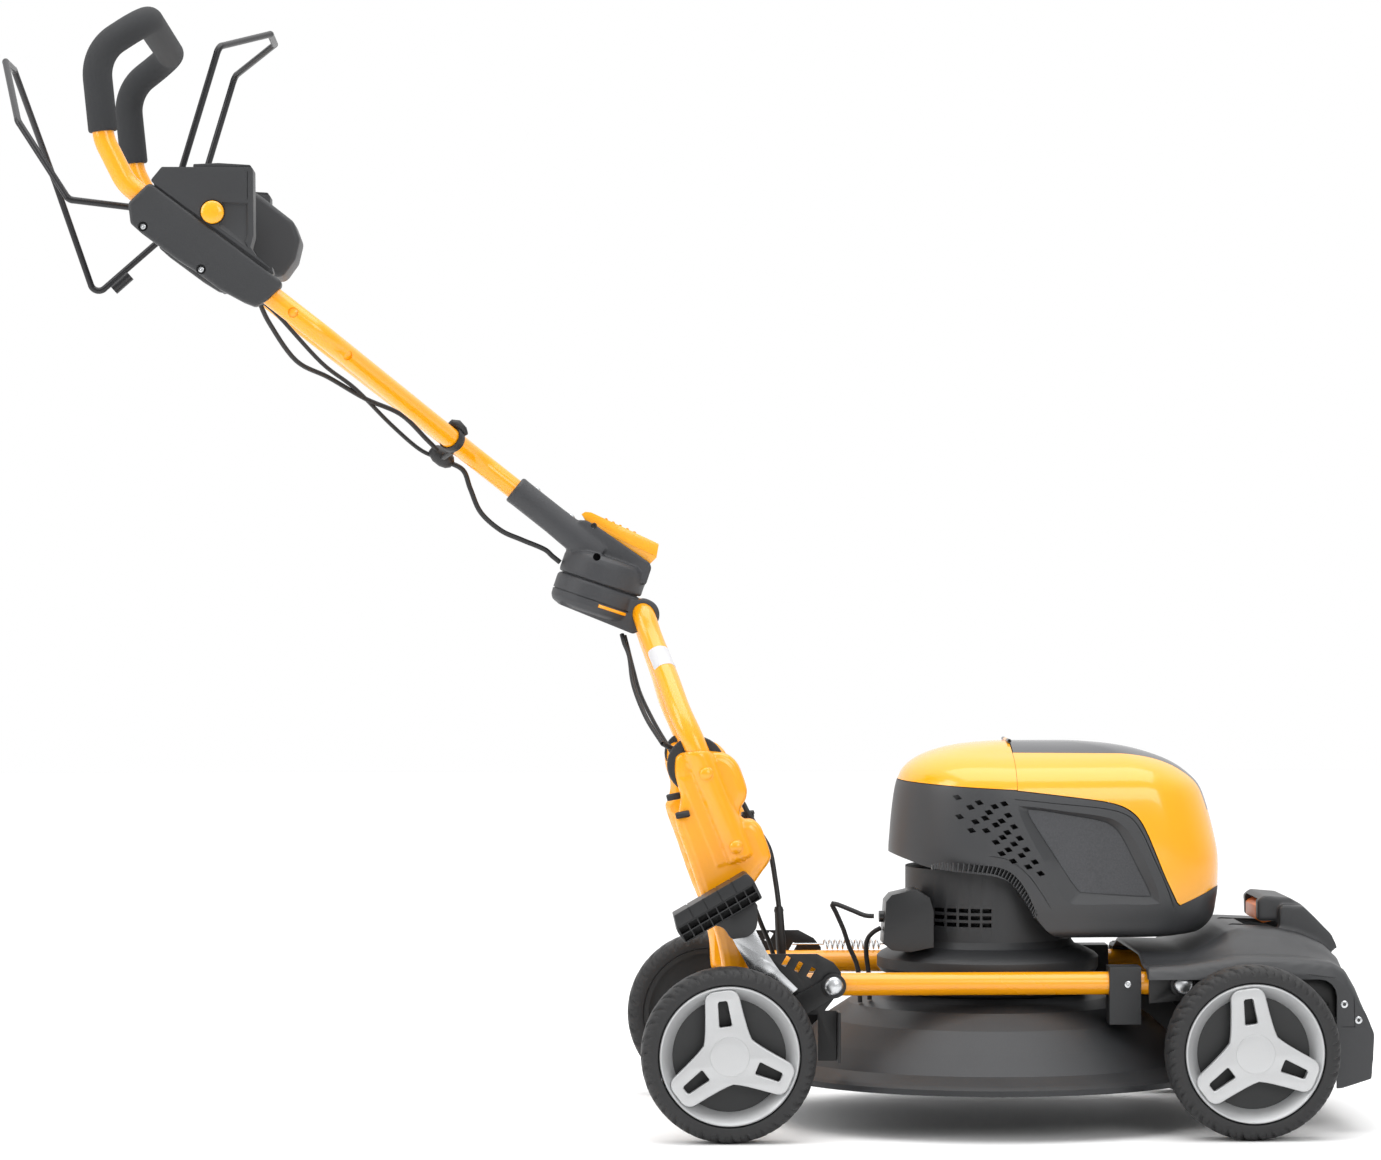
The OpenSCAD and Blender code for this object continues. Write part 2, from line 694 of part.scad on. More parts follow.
// Dark strip down the middle of the lid, with the finger edge at its front.
module lid_strip() {
    color("#2b2c2e") difference() {
        union() {
            difference() {
                intersection() {
                    housing();
                    translate([lid_x + 1, -58, 330]) cube([300, 116, 200]);
                }
                housing(shell_t);
                at_hinge(hinge_mid + gap) cylinder(r = knuckle_r + gap, h = 2 * hinge_mid + 2 * gap);
            }
            both_sides() at_hinge(-hinge_mid - gap) cylinder(r = knuckle_r, h = hinge_end - hinge_mid - gap);
        }
        at_hinge(hinge_end + 1) cylinder(r = hinge_pin_r + bush_fit, h = 2 * hinge_end + 2);
    }
}

// Recessed grip panels on the two sides of the battery bay.
module side_panel_outline(inset) {
    polygon([[20 + inset, 334], [30 + inset, 341 - inset], [126 - inset, 331 - inset], [134 - inset, 324],
             [169 - 2 * inset, 236 + inset], [80 + inset, 234 + inset], [72 + inset, 242]]);
}

module side_panels() {
    color("#77797c") both_sides() difference() {
        intersection() {
            housing(-1.6);
            side_plate(60, 140) side_panel_outline(0);
        }
        housing(0);
        side_plate(60, 140) side_panel_outline(9);
    }
}

module battery_packs() {
    color(black) for (side = [-1, 1])
        translate([bay_x + 8, side == 1 ? 3 : -75, cowl_low + 26]) union() {
            cube([86, 72, 92]);
            translate([14, 12, 92]) cube([58, 48, 14]);
        }
}

module battery_dock() {
    color("#3a3b3d") difference() {
        translate([bay_x, -bay_w, cowl_low + 12]) cube([112, 2 * bay_w, 24]);
        for (side = [-1, 1])
            translate([bay_x + 8, side == 1 ? 3 : -75, cowl_low + 26]) cube([86, 72, 92]);
    }
}

module control_board() {
    color("#1f6b3a") translate([-64, -54, 306]) cube([136, 108, 3]);
    color("#9a9ca0") for (i = [0 : 5])
        translate([-52 + i * 20, -40, 309]) cube([12, 70, 22]);
}

// The switch housing behind the motor neck, where the two leads enter.
module switch_box() {
    color("#333437") difference() {
      union() {
        side_plate(-88, -44)
            polygon([[-116, 236], [-110, 243], [-84, 249], [-70, 240], [-66, 226], [-66, 188], [-90, 183], [-110, 185],
                     [-119, 192]]);
        translate([-122, -66, 219]) rotate([0, 90, 0]) cylinder(r = 6, h = 14);
        translate([-116, -66, 210]) rotate([0, 60, 0]) cylinder(r = 6, h = 12);
      }
      rotate_extrude($fn = 96)
          polygon([[0, 100], [flange_r + 1, 100], [flange_r + 1, flange_low + 20], [neck_r + 14, flange_top + gap],
                   [neck_r + 5 + gap, flange_top + 3 + gap], [neck_r + gap, flange_top + 10 + gap], [neck_r + gap, 400],
                   [0, 400]]);
    }
}

// ---- lower handle: two tubes from the chassis up to the swivel joint ----
joint_x = -414.5;
knuckle_y = tube_y + tube_r + gap;
leg_points = [[-254, tube_y, 255], [-277, tube_y, 298], [-327, tube_y, 420], [-366, 26, 510], [-369, 20, 542]];

module lower_tubes() {
    color(yellow) both_sides() difference() {
        rod(leg_points, tube_d, 60);
        for (c = knuckle_pins)
            translate([c[0], 0, c[1]]) rotate([-90, 0, 0]) cylinder(r = 4, h = 200);
    }
}

knuckle_pins = [[-308, 374], [-277, 298]];

// Yellow side plates of the fold knuckle, in pairs that hold each tube between them.
module knuckle_outline() {
    polygon([[-335, 393], [-318, 398], [-301, 397], [-284, 392], [-275, 383], [-269, 370], [-264, 354],
             [-266, 344], [-274, 335], [-264, 328], [-256, 326], [-248, 317], [-242, 300], [-241, 284],
             [-256, 263], [-262, 250], [-262, 146], [-290, 146], [-290, 190], [-315, 251], [-343, 324],
             [-331, 336], [-333, 350], [-340, 371], [-339, 384]]);
}

module knuckle_plates() {
    color(yellow) both_sides() difference() {
        for (y = [knuckle_y, tube_y - tube_r - gap - 3])
            side_plate(y, y + 3) knuckle_outline();
        for (c = knuckle_pins)
            translate([c[0], 0, c[1]]) rotate([-90, 0, 0]) cylinder(r = 4, h = 200);
    }
    // rear web that closes each pair of plates into a channel
    color(yellow) both_sides() side_plate(tube_y - tube_r - gap, knuckle_y)
        polygon([[-343, 324], [-315, 251], [-290, 190], [-290, 170], [-286, 170], [-286, 191], [-311, 252],
                 [-339, 325]]);
}

module knuckle_bolts() {
    color("silver") both_sides() for (c = knuckle_pins)
        translate([c[0], 0, c[1]]) rotate([-90, 0, 0]) {
            translate([0, 0, knuckle_y + 3]) cylinder(r = 8, h = 4.5, $fn = 6);
            translate([0, 0, tube_y - tube_r - gap - 8]) cylinder(r = 4, h = tube_d + 2 * gap + 12);
            translate([0, 0, tube_y - tube_r - gap - 8]) cylinder(r = 8, h = 5, $fn = 6);
        }
}

module knuckle_caps() {
    color(black) both_sides() difference() {
      union() {
        side_plate(tube_y - 8, tube_y + 8)
            polygon([[-342, 352], [-322, 352], [-322, 336], [-342, 336]]);
        side_plate(tube_y - 8, tube_y + 8) polygon([[-348, 400], [-326, 408], [-322, 396], [-345, 388]]);
      }
      rod(leg_points, tube_d + 2 * gap, 60);
    }
}

// ---- swivel joint ----
disc_low = 33;
pivot_r = 11;

module joint_lower() {
    color(plastic) difference() {
        union() {
            at_joint() rotate_extrude($fn = 64)
                polygon([[0, -disc_low], [joint_r - 6, -disc_low], [joint_r - 1, -disc_low + 4],
                         [joint_r + 2, -18], [joint_r + 2, -3], [joint_r, -gap], [0, -gap]]);
            // sockets of the two tubes
            translate([-366, 0, 0]) side_plate(-36, 36)
                polygon([[-36, 556], [-10, 551], [8, 545], [15, 538], [15, 520], [-14, 512], [-40, 524]]);
        }
        at_joint() translate([0, 0, -disc_low - 1]) cylinder(r = pivot_r + bush_fit, h = disc_low + 2);
        both_sides() rod(leg_points, tube_d, 60);
        // slot of the lock pin
        at_joint() translate([2, -joint_r - 4, -20]) cube([34, 5, 4]);
    }
}

socket_d = 30;
stem_y = 13;
stem_end = [-438, 617];

module joint_upper() {
    dir = [-cos(upper_slope), sin(upper_slope)];
    far = stem_end + 86 * dir;
    color(plastic) difference() {
        union() {
            at_joint() rotate_extrude($fn = 64)
                polygon([[0, gap], [joint_r, gap], [joint_r + 2, 3], [joint_r + 2, 18], [joint_r - 2, 27],
                         [joint_r - 8, 32], [0, 32]]);
            at_joint() translate([0, 0, -disc_low - 4]) cylinder(r = pivot_r, h = disc_low + 10);
            for (y = [-stem_y, stem_y])
                bar([stem_end[0] + 16, y, stem_end[1] - 14], [far[0], y, far[1]], socket_d, 32);
            translate([stem_end[0], 0, stem_end[1]]) rotate([0, upper_slope, 0])
                translate([-86, -stem_y, -socket_d / 2]) cube([106, 2 * stem_y, socket_d]);
            side_plate(-20, 20) polygon([[-446, 600], [-440, 630], [-431, 634], [-375, 606], [-362, 588], [-372, 572]]);
        }
        both_sides() rod(stem_points, stem_d, 40);
        // well of the lock lever
        side_plate(-15, 15) polygon([[-441, 650], [-441, 630], [-416, 624], [-364, 590], [-350, 590], [-350, 650]]);
        translate([-421, 0, 631]) rotate([90, 0, 0]) cylinder(r = 3 + bush_fit, h = 100, center = true);
        at_joint() translate([0, 0, -60]) cylinder(r = 6, h = 80);
    }
}

// Yellow lever that frees the swivel.
module joint_lever() {
    color(yellow) {
        side_plate(-14.4, 14.4)
            polygon([[-434, 643], [-430, 645.5], [-424, 645], [-352, 611.5], [-354.5, 597], [-361, 590.5],
                     [-372, 597.5], [-414, 626], [-428, 633.5]]);
        translate([-421, 0, 631]) rotate([90, 0, 0]) cylinder(r = 3, h = 36, center = true);
    }
}

// ---- upper handle and grip: one bent tube from socket to socket, in a foam sleeve ----
grip_corner = [-880, grip_y - 24, 1147];
grip_heel = [-931, grip_y, 1110];
foam_start = [-922.8, grip_y, 1030];
stem_points = [[-452, stem_y, 628], [-545, stem_y, 701], [-700, grip_y, 823], [-900, grip_y, 978],
               [-922, grip_y, 1022], grip_heel, grip_corner];

module stem_tubes() {
    color(yellow) rod(both_halves(stem_points), stem_d, 40);
}

module grip_foam() {
    color(black) difference() {
        rod(both_halves([foam_start, grip_heel, grip_corner]), foam_d, 40);
        rod(both_halves(stem_points), stem_d, 40);
    }
}

// ---- console ----
cheek_out = grip_y + 16;
cheek_in = grip_y - 16;
rear_pivot = [-860, 951];
front_pivot = [-853, 977];
bail_rear_y = cheek_in - 12;
bail_front_y = 168;

module console_cheeks() {
    color("#434446") difference() {
        union() {
            side_plate(-cheek_out, -cheek_in)
                polygon([[-896, 957], [-880, 977], [-744, 875], [-747, 867], [-757, 856], [-768, 851], [-782, 856],
                         [-844, 894], [-867, 912], [-890, 932], [-897, 943]]);
            side_plate(cheek_in, cheek_out)
                polygon([[-896, 957], [-880, 977], [-768, 892], [-776, 876], [-790, 868], [-844, 894], [-867, 912],
                         [-890, 932], [-897, 943]]);
        }
        both_sides() rod(stem_points, stem_d, 40);
        translate([rear_pivot[0], 0, rear_pivot[1]]) rotate([90, 0, 0])
            cylinder(r = bail_d / 2 + bush_fit, h = 2 * cheek_in + 9, center = true);
    }
}

button_c = [-812, 948];

module console_tower() {
    color(plastic) difference() {
        union() {
            both_sides() side_plate(bail_front_y + 12, cheek_out)
                polygon([[-880, 977.3], [-863, 994], [-830, 994.5], [-828, 998], [-782, 998], [-771, 993],
                         [-772, 896.3]]);
            side_plate(-bail_front_y - 12, bail_front_y + 12)
                polygon([[-838, 962], [-832, 984], [-778, 984], [-751, 965], [-731, 947], [-724, 930], [-727, 912],
                         [-747, 888], [-790, 904], [-822, 930]]);
        }
        // the console is a shell, open underneath between its ends
        side_plate(-bail_front_y, bail_front_y)
            polygon([[-834, 962], [-829, 980], [-779, 980], [-753, 962], [-735, 945], [-728, 930], [-731, 914],
                     [-747, 894], [-760, 880], [-822, 925]]);
        both_sides() side_plate(bail_front_y + 16, cheek_out - 4)
            polygon([[-862, 968], [-856, 988], [-790, 990], [-777, 986], [-777, 904]]);
        translate([button_c[0], -cheek_out - 1, button_c[1]]) rotate([-90, 0, 0]) cylinder(r = 12 + 0.1, h = 19);
        translate([rear_pivot[0], 0, rear_pivot[1]]) rotate([90, 0, 0])
            cylinder(r = bail_d / 2 + 9, h = 2 * cheek_in + 0.6, center = true);
        translate([front_pivot[0], 0, front_pivot[1]]) rotate([90, 0, 0])
            cylinder(r = bail_d / 2 + bush_fit, h = 2 * bail_front_y + 40, center = true);
    }
}

module start_button() {
    color("#f9a72b") translate([button_c[0], 0, button_c[1]]) rotate([90, 0, 0]) {
        translate([0, 0, cheek_out - 12]) cylinder(r = 12, h = 14);
        translate([0, 0, cheek_out + 2]) cylinder(r1 = 11.6, r2 = 10, h = 2.5);
    }
}

// ---- operator bails, bent from one wire each ----
rear_y = bail_rear_y;
rear_bail_points = [[rear_pivot[0], -rear_y - 16, rear_pivot[1]], [rear_pivot[0], -rear_y, rear_pivot[1]],
                    [-960, -rear_y, 963], [-1014, -rear_y + 30, 1045], [-1038, -48, 1117], [-1038, 48, 1117],
                    [-1008, rear_y - 16, 1012], [-964, rear_y, 882], [rear_pivot[0] - 24, rear_y, 952],
                    [rear_pivot[0], rear_y, rear_pivot[1]], [rear_pivot[0], rear_y + 16, rear_pivot[1]]];

front_y = bail_front_y;
front_bail_half = [[front_pivot[0], front_y + 19, front_pivot[1]], [front_pivot[0], front_y, front_pivot[1]],
                   [-809, front_y, 1122], [-761, 56, 1146]];

module rear_bail() {
    color(black) {
        rod(rear_bail_points, bail_d, 9, 16);
        // clamp of the brake wire on the left leg
        bar([-944, rear_y, 890], [-926, rear_y, 906], 13, 16);
    }
}

module front_bail() {
    color(black) rod(both_halves(front_bail_half), bail_d, 9, 16);
}

// ---- cables: swept tubes through points chosen by hand ----
cable_sides = 8;

function blend4(a, b, c, d, t) =
    0.5 * (2 * b + (c - a) * t + (2 * a - 5 * b + 4 * c - d) * t * t + (3 * b - a - 3 * c + d) * t * t * t);
function smooth(p, n) = concat(
    [for (i = [0 : len(p) - 2], k = [0 : n - 1])
        blend4(p[max(i - 1, 0)], p[i], p[i + 1], p[min(i + 2, len(p) - 1)], k / n)],
    [p[len(p) - 1]]);

module sweep(path, d, sides = cable_sides, ref = [0, 1, 0]) {
    n = len(path);
    rings = [for (i = [0 : n - 1])
        let (t = unit(path[min(i + 1, n - 1)] - path[max(i - 1, 0)]),
             u = unit(cross(t, ref)),
             v = cross(t, u))
        for (k = [0 : sides - 1]) path[i] + d / 2 * (cos(k * 360 / sides) * u + sin(k * 360 / sides) * v)];
    polyhedron(rings, concat(
        [[for (k = [0 : sides - 1]) k]],
        [for (i = [0 : n - 2], k = [0 : sides - 1], half = [0, 1])
            let (a = i * sides + k, b = i * sides + (k + 1) % sides)
            half == 0 ? [a, a + sides, b + sides] : [a, b + sides, b]],
        [[for (k = [sides - 1 : -1 : 0]) (n - 1) * sides + k]]), convexity = 4);
}

upper_route_a = [[-768, -190, 862], [-757, -176, 838], [-731, -150, 801], [-699, -110, 785], [-662, -70, 764],
                 [-625, -40, 748], [-598, -22, 722], [-584, -14, 708]];
upper_route_b = [[-766, -184, 862], [-748, -168, 846], [-706, -128, 800], [-672, -84, 774], [-636, -36, 738],
                 [-606, -10, 712], [-584, -4, 702]];
upper_route_c = [[-580, -9, 700], [-560, -9, 690], [-552, -9, 670], [-541, -9, 645], [-520, -8, 626],
                 [-498, -6, 616], [-474, -4, 606], [-465, -3, 598.5], [-456.7, -2, 591.8]];
lower_route_a = [[-391.4, -18.4, 515.4], [-389, -25, 506], [-384, -35, 492], [-380, -52, 462], [-368, -84, 430],
                 [-352, -112, 404]];
lower_route_b = [[-387.6, 11.6, 513.4], [-385, 7, 503], [-379, -6, 478], [-372, -30, 452], [-358, -70, 422],
                 [-344, -104, 398]];
drive_route = [[-352, -112, 404], [-316, -106, 384], [-276, -110, 352], [-262, -113, 330], [-251, -113, 312],
               [-240, -113, 292], [-234, -110, 261], [-230, -107, 232], [-228, -105, 206]];
lead_route = [[-344, -104, 398], [-306, -104, 330], [-268, -106, 268], [-258, -104, 240], [-248, -96, 214],
              [-236, -80, 186], [-224, -70, 140], [-216, -64, 96], on_deck(-212, -62, 4.5)];
switch_route_a = [[-127, -65.5, 219.3], [-137, -64, 220], [-152, -60, 226], [-170, -54, 232], [-166, -50, 222],
                  [-158, -48, 204], [-152, -46, 186], [-144, -44, 168], [-141, -44, 150], on_deck(-140, -44, 1.1)];
switch_route_b = [[-120, -63.5, 206.4], [-127, -60, 202], [-133, -55, 194], [-134, -50, 180], [-132, -46, 164],
                  [-130, -44, 150], on_deck(-130, -44, 1.2)];

module upper_cables() {
    color(black) {
        sweep(smooth(upper_route_a, 3), 5);
        sweep(smooth(upper_route_b, 3), 4.4);
        sweep(smooth(upper_route_c, 3), 5.4);
        translate([-582, -9, 704]) rotate([0, upper_slope, 0]) cube([18, 22, 12], center = true);
        // strap buckle over the two tubes
        translate([-574, 0, 738]) rotate([0, upper_slope, 0]) cube([22, 62, 8], center = true);
    }
}

module lower_cables() {
    color(black) {
        sweep(smooth(lower_route_a, 3), 5);
        sweep(smooth(lower_route_b, 3), 4.4);
        sweep(smooth(drive_route, 3), 5.5);
        sweep(smooth(lead_route, 3), 5);
        bar(drive_route[8], [-227, -105, tube_z + tube_r + 5.6], 9, 16);
    }
}

module switch_leads() {
    color(black) {
        sweep(smooth(switch_route_a, 3), 5);
        sweep(smooth(switch_route_b, 3), 5);
    }
}

// Return spring of the rear carrier, beside the left frame tube.
module return_spring() {
    turns = 11;
    steps = 10;
    coil = [for (i = [0 : turns * steps])
        [-166 + 62 * i / (turns * steps), tube_y + 5 * cos(i * 360 / steps),
         tube_z + tube_r + 6.3 + 5 * sin(i * 360 / steps)]];
    color("silver") {
        sweep(coil, 2, 6, [1, 0, 0]);
        bar([-200, tube_y + 5, tube_z + tube_r + 6.3], [-165.5, tube_y + 5, tube_z + tube_r + 6.3], 2, 16);
        bar([-104.5, tube_y + 5, tube_z + tube_r + 6.3], [-92, tube_y + 5, tube_z + tube_r + 6.3], 2, 16);
    }
}

deck_bowl();
frame_tubes();
rear_plates();
front_plates();
tube_clamps();
pivot_bolts();
rear_arms();
rear_axle();
pedal_lever();
pedal_tread();
front_arms();
front_axle();
tyre_rear_right();
core_rear_right();
trim_rear_right();
tyre_rear_left();
core_rear_left();
trim_rear_left();
tyre_front_right();
core_front_right();
trim_front_right();
tyre_front_left();
core_front_left();
trim_front_left();
front_cover();
front_latch();
motor_base();
motor_bearings();
stator();
rotor();
spindle();
blade_hub();
blade();
blade_bolt();
housing_body();
rear_cap();
side_panels();
lid_shell();
lid_strip();
battery_packs();
battery_dock();
control_board();
switch_box();
switch_leads();
lower_tubes();
knuckle_plates();
knuckle_caps();
joint_lower();
joint_upper();
joint_lever();
stem_tubes();
grip_foam();
console_cheeks();
console_tower();
start_button();
rear_bail();
front_bail();
upper_cables();
lower_cables();
return_spring();
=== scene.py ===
import json
import math

import bmesh
import bpy
import mathutils
import numpy as np
from mathutils import Matrix, Vector

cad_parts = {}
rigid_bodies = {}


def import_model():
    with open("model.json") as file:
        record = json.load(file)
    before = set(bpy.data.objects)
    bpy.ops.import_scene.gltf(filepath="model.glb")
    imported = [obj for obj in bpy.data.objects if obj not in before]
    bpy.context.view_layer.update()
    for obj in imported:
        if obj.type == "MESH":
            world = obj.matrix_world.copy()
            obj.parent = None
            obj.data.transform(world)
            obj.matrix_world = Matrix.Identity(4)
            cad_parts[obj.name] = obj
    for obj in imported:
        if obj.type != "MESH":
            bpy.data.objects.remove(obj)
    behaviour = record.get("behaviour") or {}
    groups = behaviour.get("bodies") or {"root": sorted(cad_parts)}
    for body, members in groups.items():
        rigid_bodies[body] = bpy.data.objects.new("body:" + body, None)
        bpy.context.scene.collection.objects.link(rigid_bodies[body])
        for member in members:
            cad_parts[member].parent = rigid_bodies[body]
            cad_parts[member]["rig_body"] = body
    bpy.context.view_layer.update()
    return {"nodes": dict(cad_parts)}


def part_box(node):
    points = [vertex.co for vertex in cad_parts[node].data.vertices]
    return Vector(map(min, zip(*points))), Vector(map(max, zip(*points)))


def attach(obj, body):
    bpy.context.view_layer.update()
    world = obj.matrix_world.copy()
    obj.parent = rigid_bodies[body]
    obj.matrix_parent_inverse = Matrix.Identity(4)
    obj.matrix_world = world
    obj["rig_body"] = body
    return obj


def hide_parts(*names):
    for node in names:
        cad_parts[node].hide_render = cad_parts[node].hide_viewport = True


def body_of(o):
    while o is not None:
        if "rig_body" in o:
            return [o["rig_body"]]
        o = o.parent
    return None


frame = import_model()

# ---- studio ----
# A plain pale floor with soft light boxes round the mower: one overhead, one at its right-hand side
# and one behind. The camera stands low at the right-hand side, with a long lens.
scene = bpy.context.scene
scene.view_settings.view_transform = "Standard"
bpy.ops.mesh.primitive_plane_add(size=14)
floor = bpy.context.object
floor.name = "floor"
floor_paint = bpy.data.materials.new("floor_paint")
floor_paint.use_nodes = True
floor_shader = floor_paint.node_tree.nodes["Principled BSDF"]
floor_shader.inputs["Base Color"].default_value = (0.97, 0.97, 0.97, 1)
floor_shader.inputs["Roughness"].default_value = 0.65
floor.data.materials.append(floor_paint)

scene.world = bpy.data.worlds.new("studio_air")
scene.world.use_nodes = True
air = scene.world.node_tree
# the backdrop is white, the ceiling bright, and the room on the camera side dimmer
direction = air.nodes.new("ShaderNodeTexCoord")
parts = air.nodes.new("ShaderNodeSeparateXYZ")
air.links.new(direction.outputs["Generated"], parts.inputs[0])
total = air.nodes.new("ShaderNodeMath")
# for each direction: where the light starts to change, where it ends, and its strength at both
for k, (axis, *limits) in enumerate((("Y", -0.25, 0.45, 0.5, 1.0), ("Z", 0.25, 0.9, 0.0, 0.6))):
    level = air.nodes.new("ShaderNodeMapRange")
    for i, value in enumerate(limits):
        level.inputs[i + 1].default_value = value
    air.links.new(parts.outputs[axis], level.inputs[0])
    air.links.new(level.outputs[0], total.inputs[k])
air.links.new(total.outputs[0], air.nodes["Background"].inputs["Strength"])
air.nodes["Background"].inputs["Color"].default_value = (1, 1, 1, 1)


def light_box(name, place, target, width, height, watts):
    lamp = bpy.data.lights.new(name, "AREA")
    lamp.shape = "RECTANGLE"
    lamp.size, lamp.size_y, lamp.energy = width, height, watts
    box = bpy.data.objects.new(name, lamp)
    box.location = place
    box.rotation_euler = (Vector(target) - Vector(place)).to_track_quat("-Z", "Y").to_euler()
    scene.collection.objects.link(box)


light_box("overhead_box", (-0.2, -0.5, 3.2), (-0.2, 0, 0), 3.4, 2.4, 62)
light_box("side_box", (1.2, -3.4, 1.9), (0, 0, 0.4), 1.7, 1.5, 28)
light_box("rear_box", (-2.6, -1.0, 1.7), (0, 0, 0.5), 1.0, 1.8, 22)

lens = bpy.data.cameras.new("camera")
camera = bpy.data.objects.new("camera", lens)
scene.collection.objects.link(camera)
scene.camera = camera
lens.sensor_width = 36
lens.lens = 127.16
lens.clip_end = 40
camera.location = (-0.548, -5.190, 0.640)
camera.rotation_euler = (math.pi / 2 - math.radians(0.74), 0, -math.radians(2.54))

# ---- deck ----
# The round cutting deck is one deep-drawn steel pressing, powder coated in dark grey.
# Its coat is fine and slightly metallic, with a faint orange peel.


def effect(name, inputs, outputs):
    """An empty shader group with named sockets."""
    tree = bpy.data.node_groups.new(name, "ShaderNodeTree")
    for label, kind, value in inputs:
        socket = tree.interface.new_socket(label, in_out="INPUT", socket_type="NodeSocket" + kind)
        socket.default_value = value
    for label, kind in outputs:
        tree.interface.new_socket(label, in_out="OUTPUT", socket_type="NodeSocket" + kind)
    return tree, tree.nodes.new("NodeGroupInput"), tree.nodes.new("NodeGroupOutput")


def add(tree, kind, values=(), **settings):
    """A node with its settings and its unlinked or linked inputs."""
    made = tree.nodes.new("ShaderNode" + kind)
    for key, value in settings.items():
        setattr(made, key, value)
    for key, value in dict(values).items():
        if isinstance(value, bpy.types.NodeSocket):
            tree.links.new(value, made.inputs[key])
        else:
            made.inputs[key].default_value = value
    return made


# surface grain: fine relief, with small changes of colour and gloss
grain, given, out = effect(
    "surface_grain",
    [("Colour", "Color", (0.5, 0.5, 0.5, 1)), ("Mottle", "Float", 0.1), ("Grain size", "Float", 900.0),
     ("Gloss change", "Float", 0.08), ("Roughness", "Float", 0.5)],
    [("Colour", "Color"), ("Roughness", "Float"), ("Height", "Float")])
place = add(grain, "TexCoord").outputs["Object"]
grain_size = given.outputs["Grain size"]
fine = add(grain, "TexNoise", {"Vector": place, "Scale": grain_size, "Detail": 3, "Roughness": 0.6})
broad = add(grain, "TexNoise", {"Vector": place, "Scale": 9, "Detail": 4})
swing = add(grain, "MapRange", {"Value": fine.outputs["Fac"], 1: 0.3, 2: 0.7, 3: -0.5, 4: 0.5})
drift = add(grain, "MapRange", {"Value": broad.outputs["Fac"], 1: 0.3, 2: 0.7, 3: -0.5, 4: 0.5})
both = add(grain, "Math", {0: swing.outputs[0], 1: drift.outputs[0]}, operation="ADD")
amount = add(grain, "Math", {0: both.outputs[0], 1: given.outputs["Mottle"]}, operation="MULTIPLY")
lift = add(grain, "Math", {0: amount.outputs[0], 1: 1.0}, operation="ADD")
tint = add(grain, "VectorMath", {0: given.outputs["Colour"]}, operation="SCALE")
grain.links.new(lift.outputs[0], tint.inputs["Scale"])
dull = add(grain, "Math", {0: drift.outputs[0], 1: given.outputs["Gloss change"]}, operation="MULTIPLY")
rough = add(grain, "Math", {0: dull.outputs[0], 1: given.outputs["Roughness"]}, operation="ADD",
            use_clamp=True)
grain.links.new(tint.outputs[0], out.inputs["Colour"])
grain.links.new(rough.outputs[0], out.inputs["Roughness"])
grain.links.new(fine.outputs["Fac"], out.inputs["Height"])


def linear(hexcode):
    """A maker's colour code as linear light."""
    parts = [int(hexcode[i:i + 2], 16) / 255 for i in (0, 2, 4)]
    return [c / 12.92 if c <= 0.04045 else ((c + 0.055) / 1.055) ** 2.4 for c in parts] + [1]


def finish(name, colour, rough, size=900, relief=0.1, depth=0.0003, mottle=0.1, change=0.06, **shader):
    """A finish of one material: grain in its colour, gloss and relief."""
    made = bpy.data.materials.new(name)
    made.use_nodes = True
    tree = made.node_tree
    coat = tree.nodes["Principled BSDF"]
    for key, value in shader.items():
        coat.inputs[key.replace("_", " ")].default_value = value
    skin = add(tree, "Group", node_tree=grain)
    skin.inputs["Colour"].default_value = linear(colour)
    for label, value in (("Mottle", mottle), ("Grain size", size), ("Gloss change", change),
                         ("Roughness", rough)):
        skin.inputs[label].default_value = value
    bump = add(tree, "Bump", {"Height": skin.outputs["Height"], "Strength": relief, "Distance": depth})
    tree.links.new(skin.outputs["Colour"], coat.inputs["Base Color"])
    tree.links.new(skin.outputs["Roughness"], coat.inputs["Roughness"])
    tree.links.new(bump.outputs["Normal"], coat.inputs["Normal"])
    made.diffuse_color = linear(colour)
    return made


def dress(material, *nodes):
    """Gives the solids of the frame their finish."""
    for name in nodes:
        solid = frame["nodes"][name]
        if not solid.material_slots:
            solid.data.materials.append(material)
        for seat in solid.material_slots:
            seat.material = material


deck_coat = finish("deck_coat", "2a2b2d", 0.42, size=1400, relief=0.25, mottle=0.55, Metallic=0.25)
dress(deck_coat, "deck_bowl")

# ---- frame tubes ----
# Two bent steel tubes carry the deck, and two more rise to the swivel. They are welded, then enamelled
# in a glossy warm yellow.
yellow_enamel = finish("yellow_enamel", "f5a000", 0.26, size=260, relief=0.05, mottle=0.03,
                       Coat_Weight=0.5, Coat_Roughness=0.12)
dress(yellow_enamel, "frame_tubes")

# ---- carrier plates and clamps ----
# Black plates of folded steel hold the height carriers to the frame tubes; their edges are broken
# and the black coat is satin. Moulded clamps grip the tubes ahead of them.
black_coat = finish("black_coat", "151516", 0.4, size=1100, relief=0.15, mottle=0.25, Metallic=0.15)
clamp_plastic = finish("clamp_plastic", "232426", 0.5, size=1600, relief=0.35, mottle=0.18)


def piece_of(name, mesh, body, material=None, stands_for=()):
    """Puts a finished mesh on its body, as a piece of the mower."""
    made = bpy.data.objects.new(name, mesh)
    scene.collection.objects.link(made)
    if material is not None:
        mesh.materials.clear()
        mesh.materials.append(material)
        mesh.polygons.foreach_set("material_index", [0] * len(mesh.polygons))
    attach(made, body)
    if stands_for:
        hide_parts(*stands_for)
    return made


def body_of_node(node):
    """The moving body that a solid of the frame belongs to."""
    return np.atleast_1d(body_of(frame["nodes"][node]))[0]


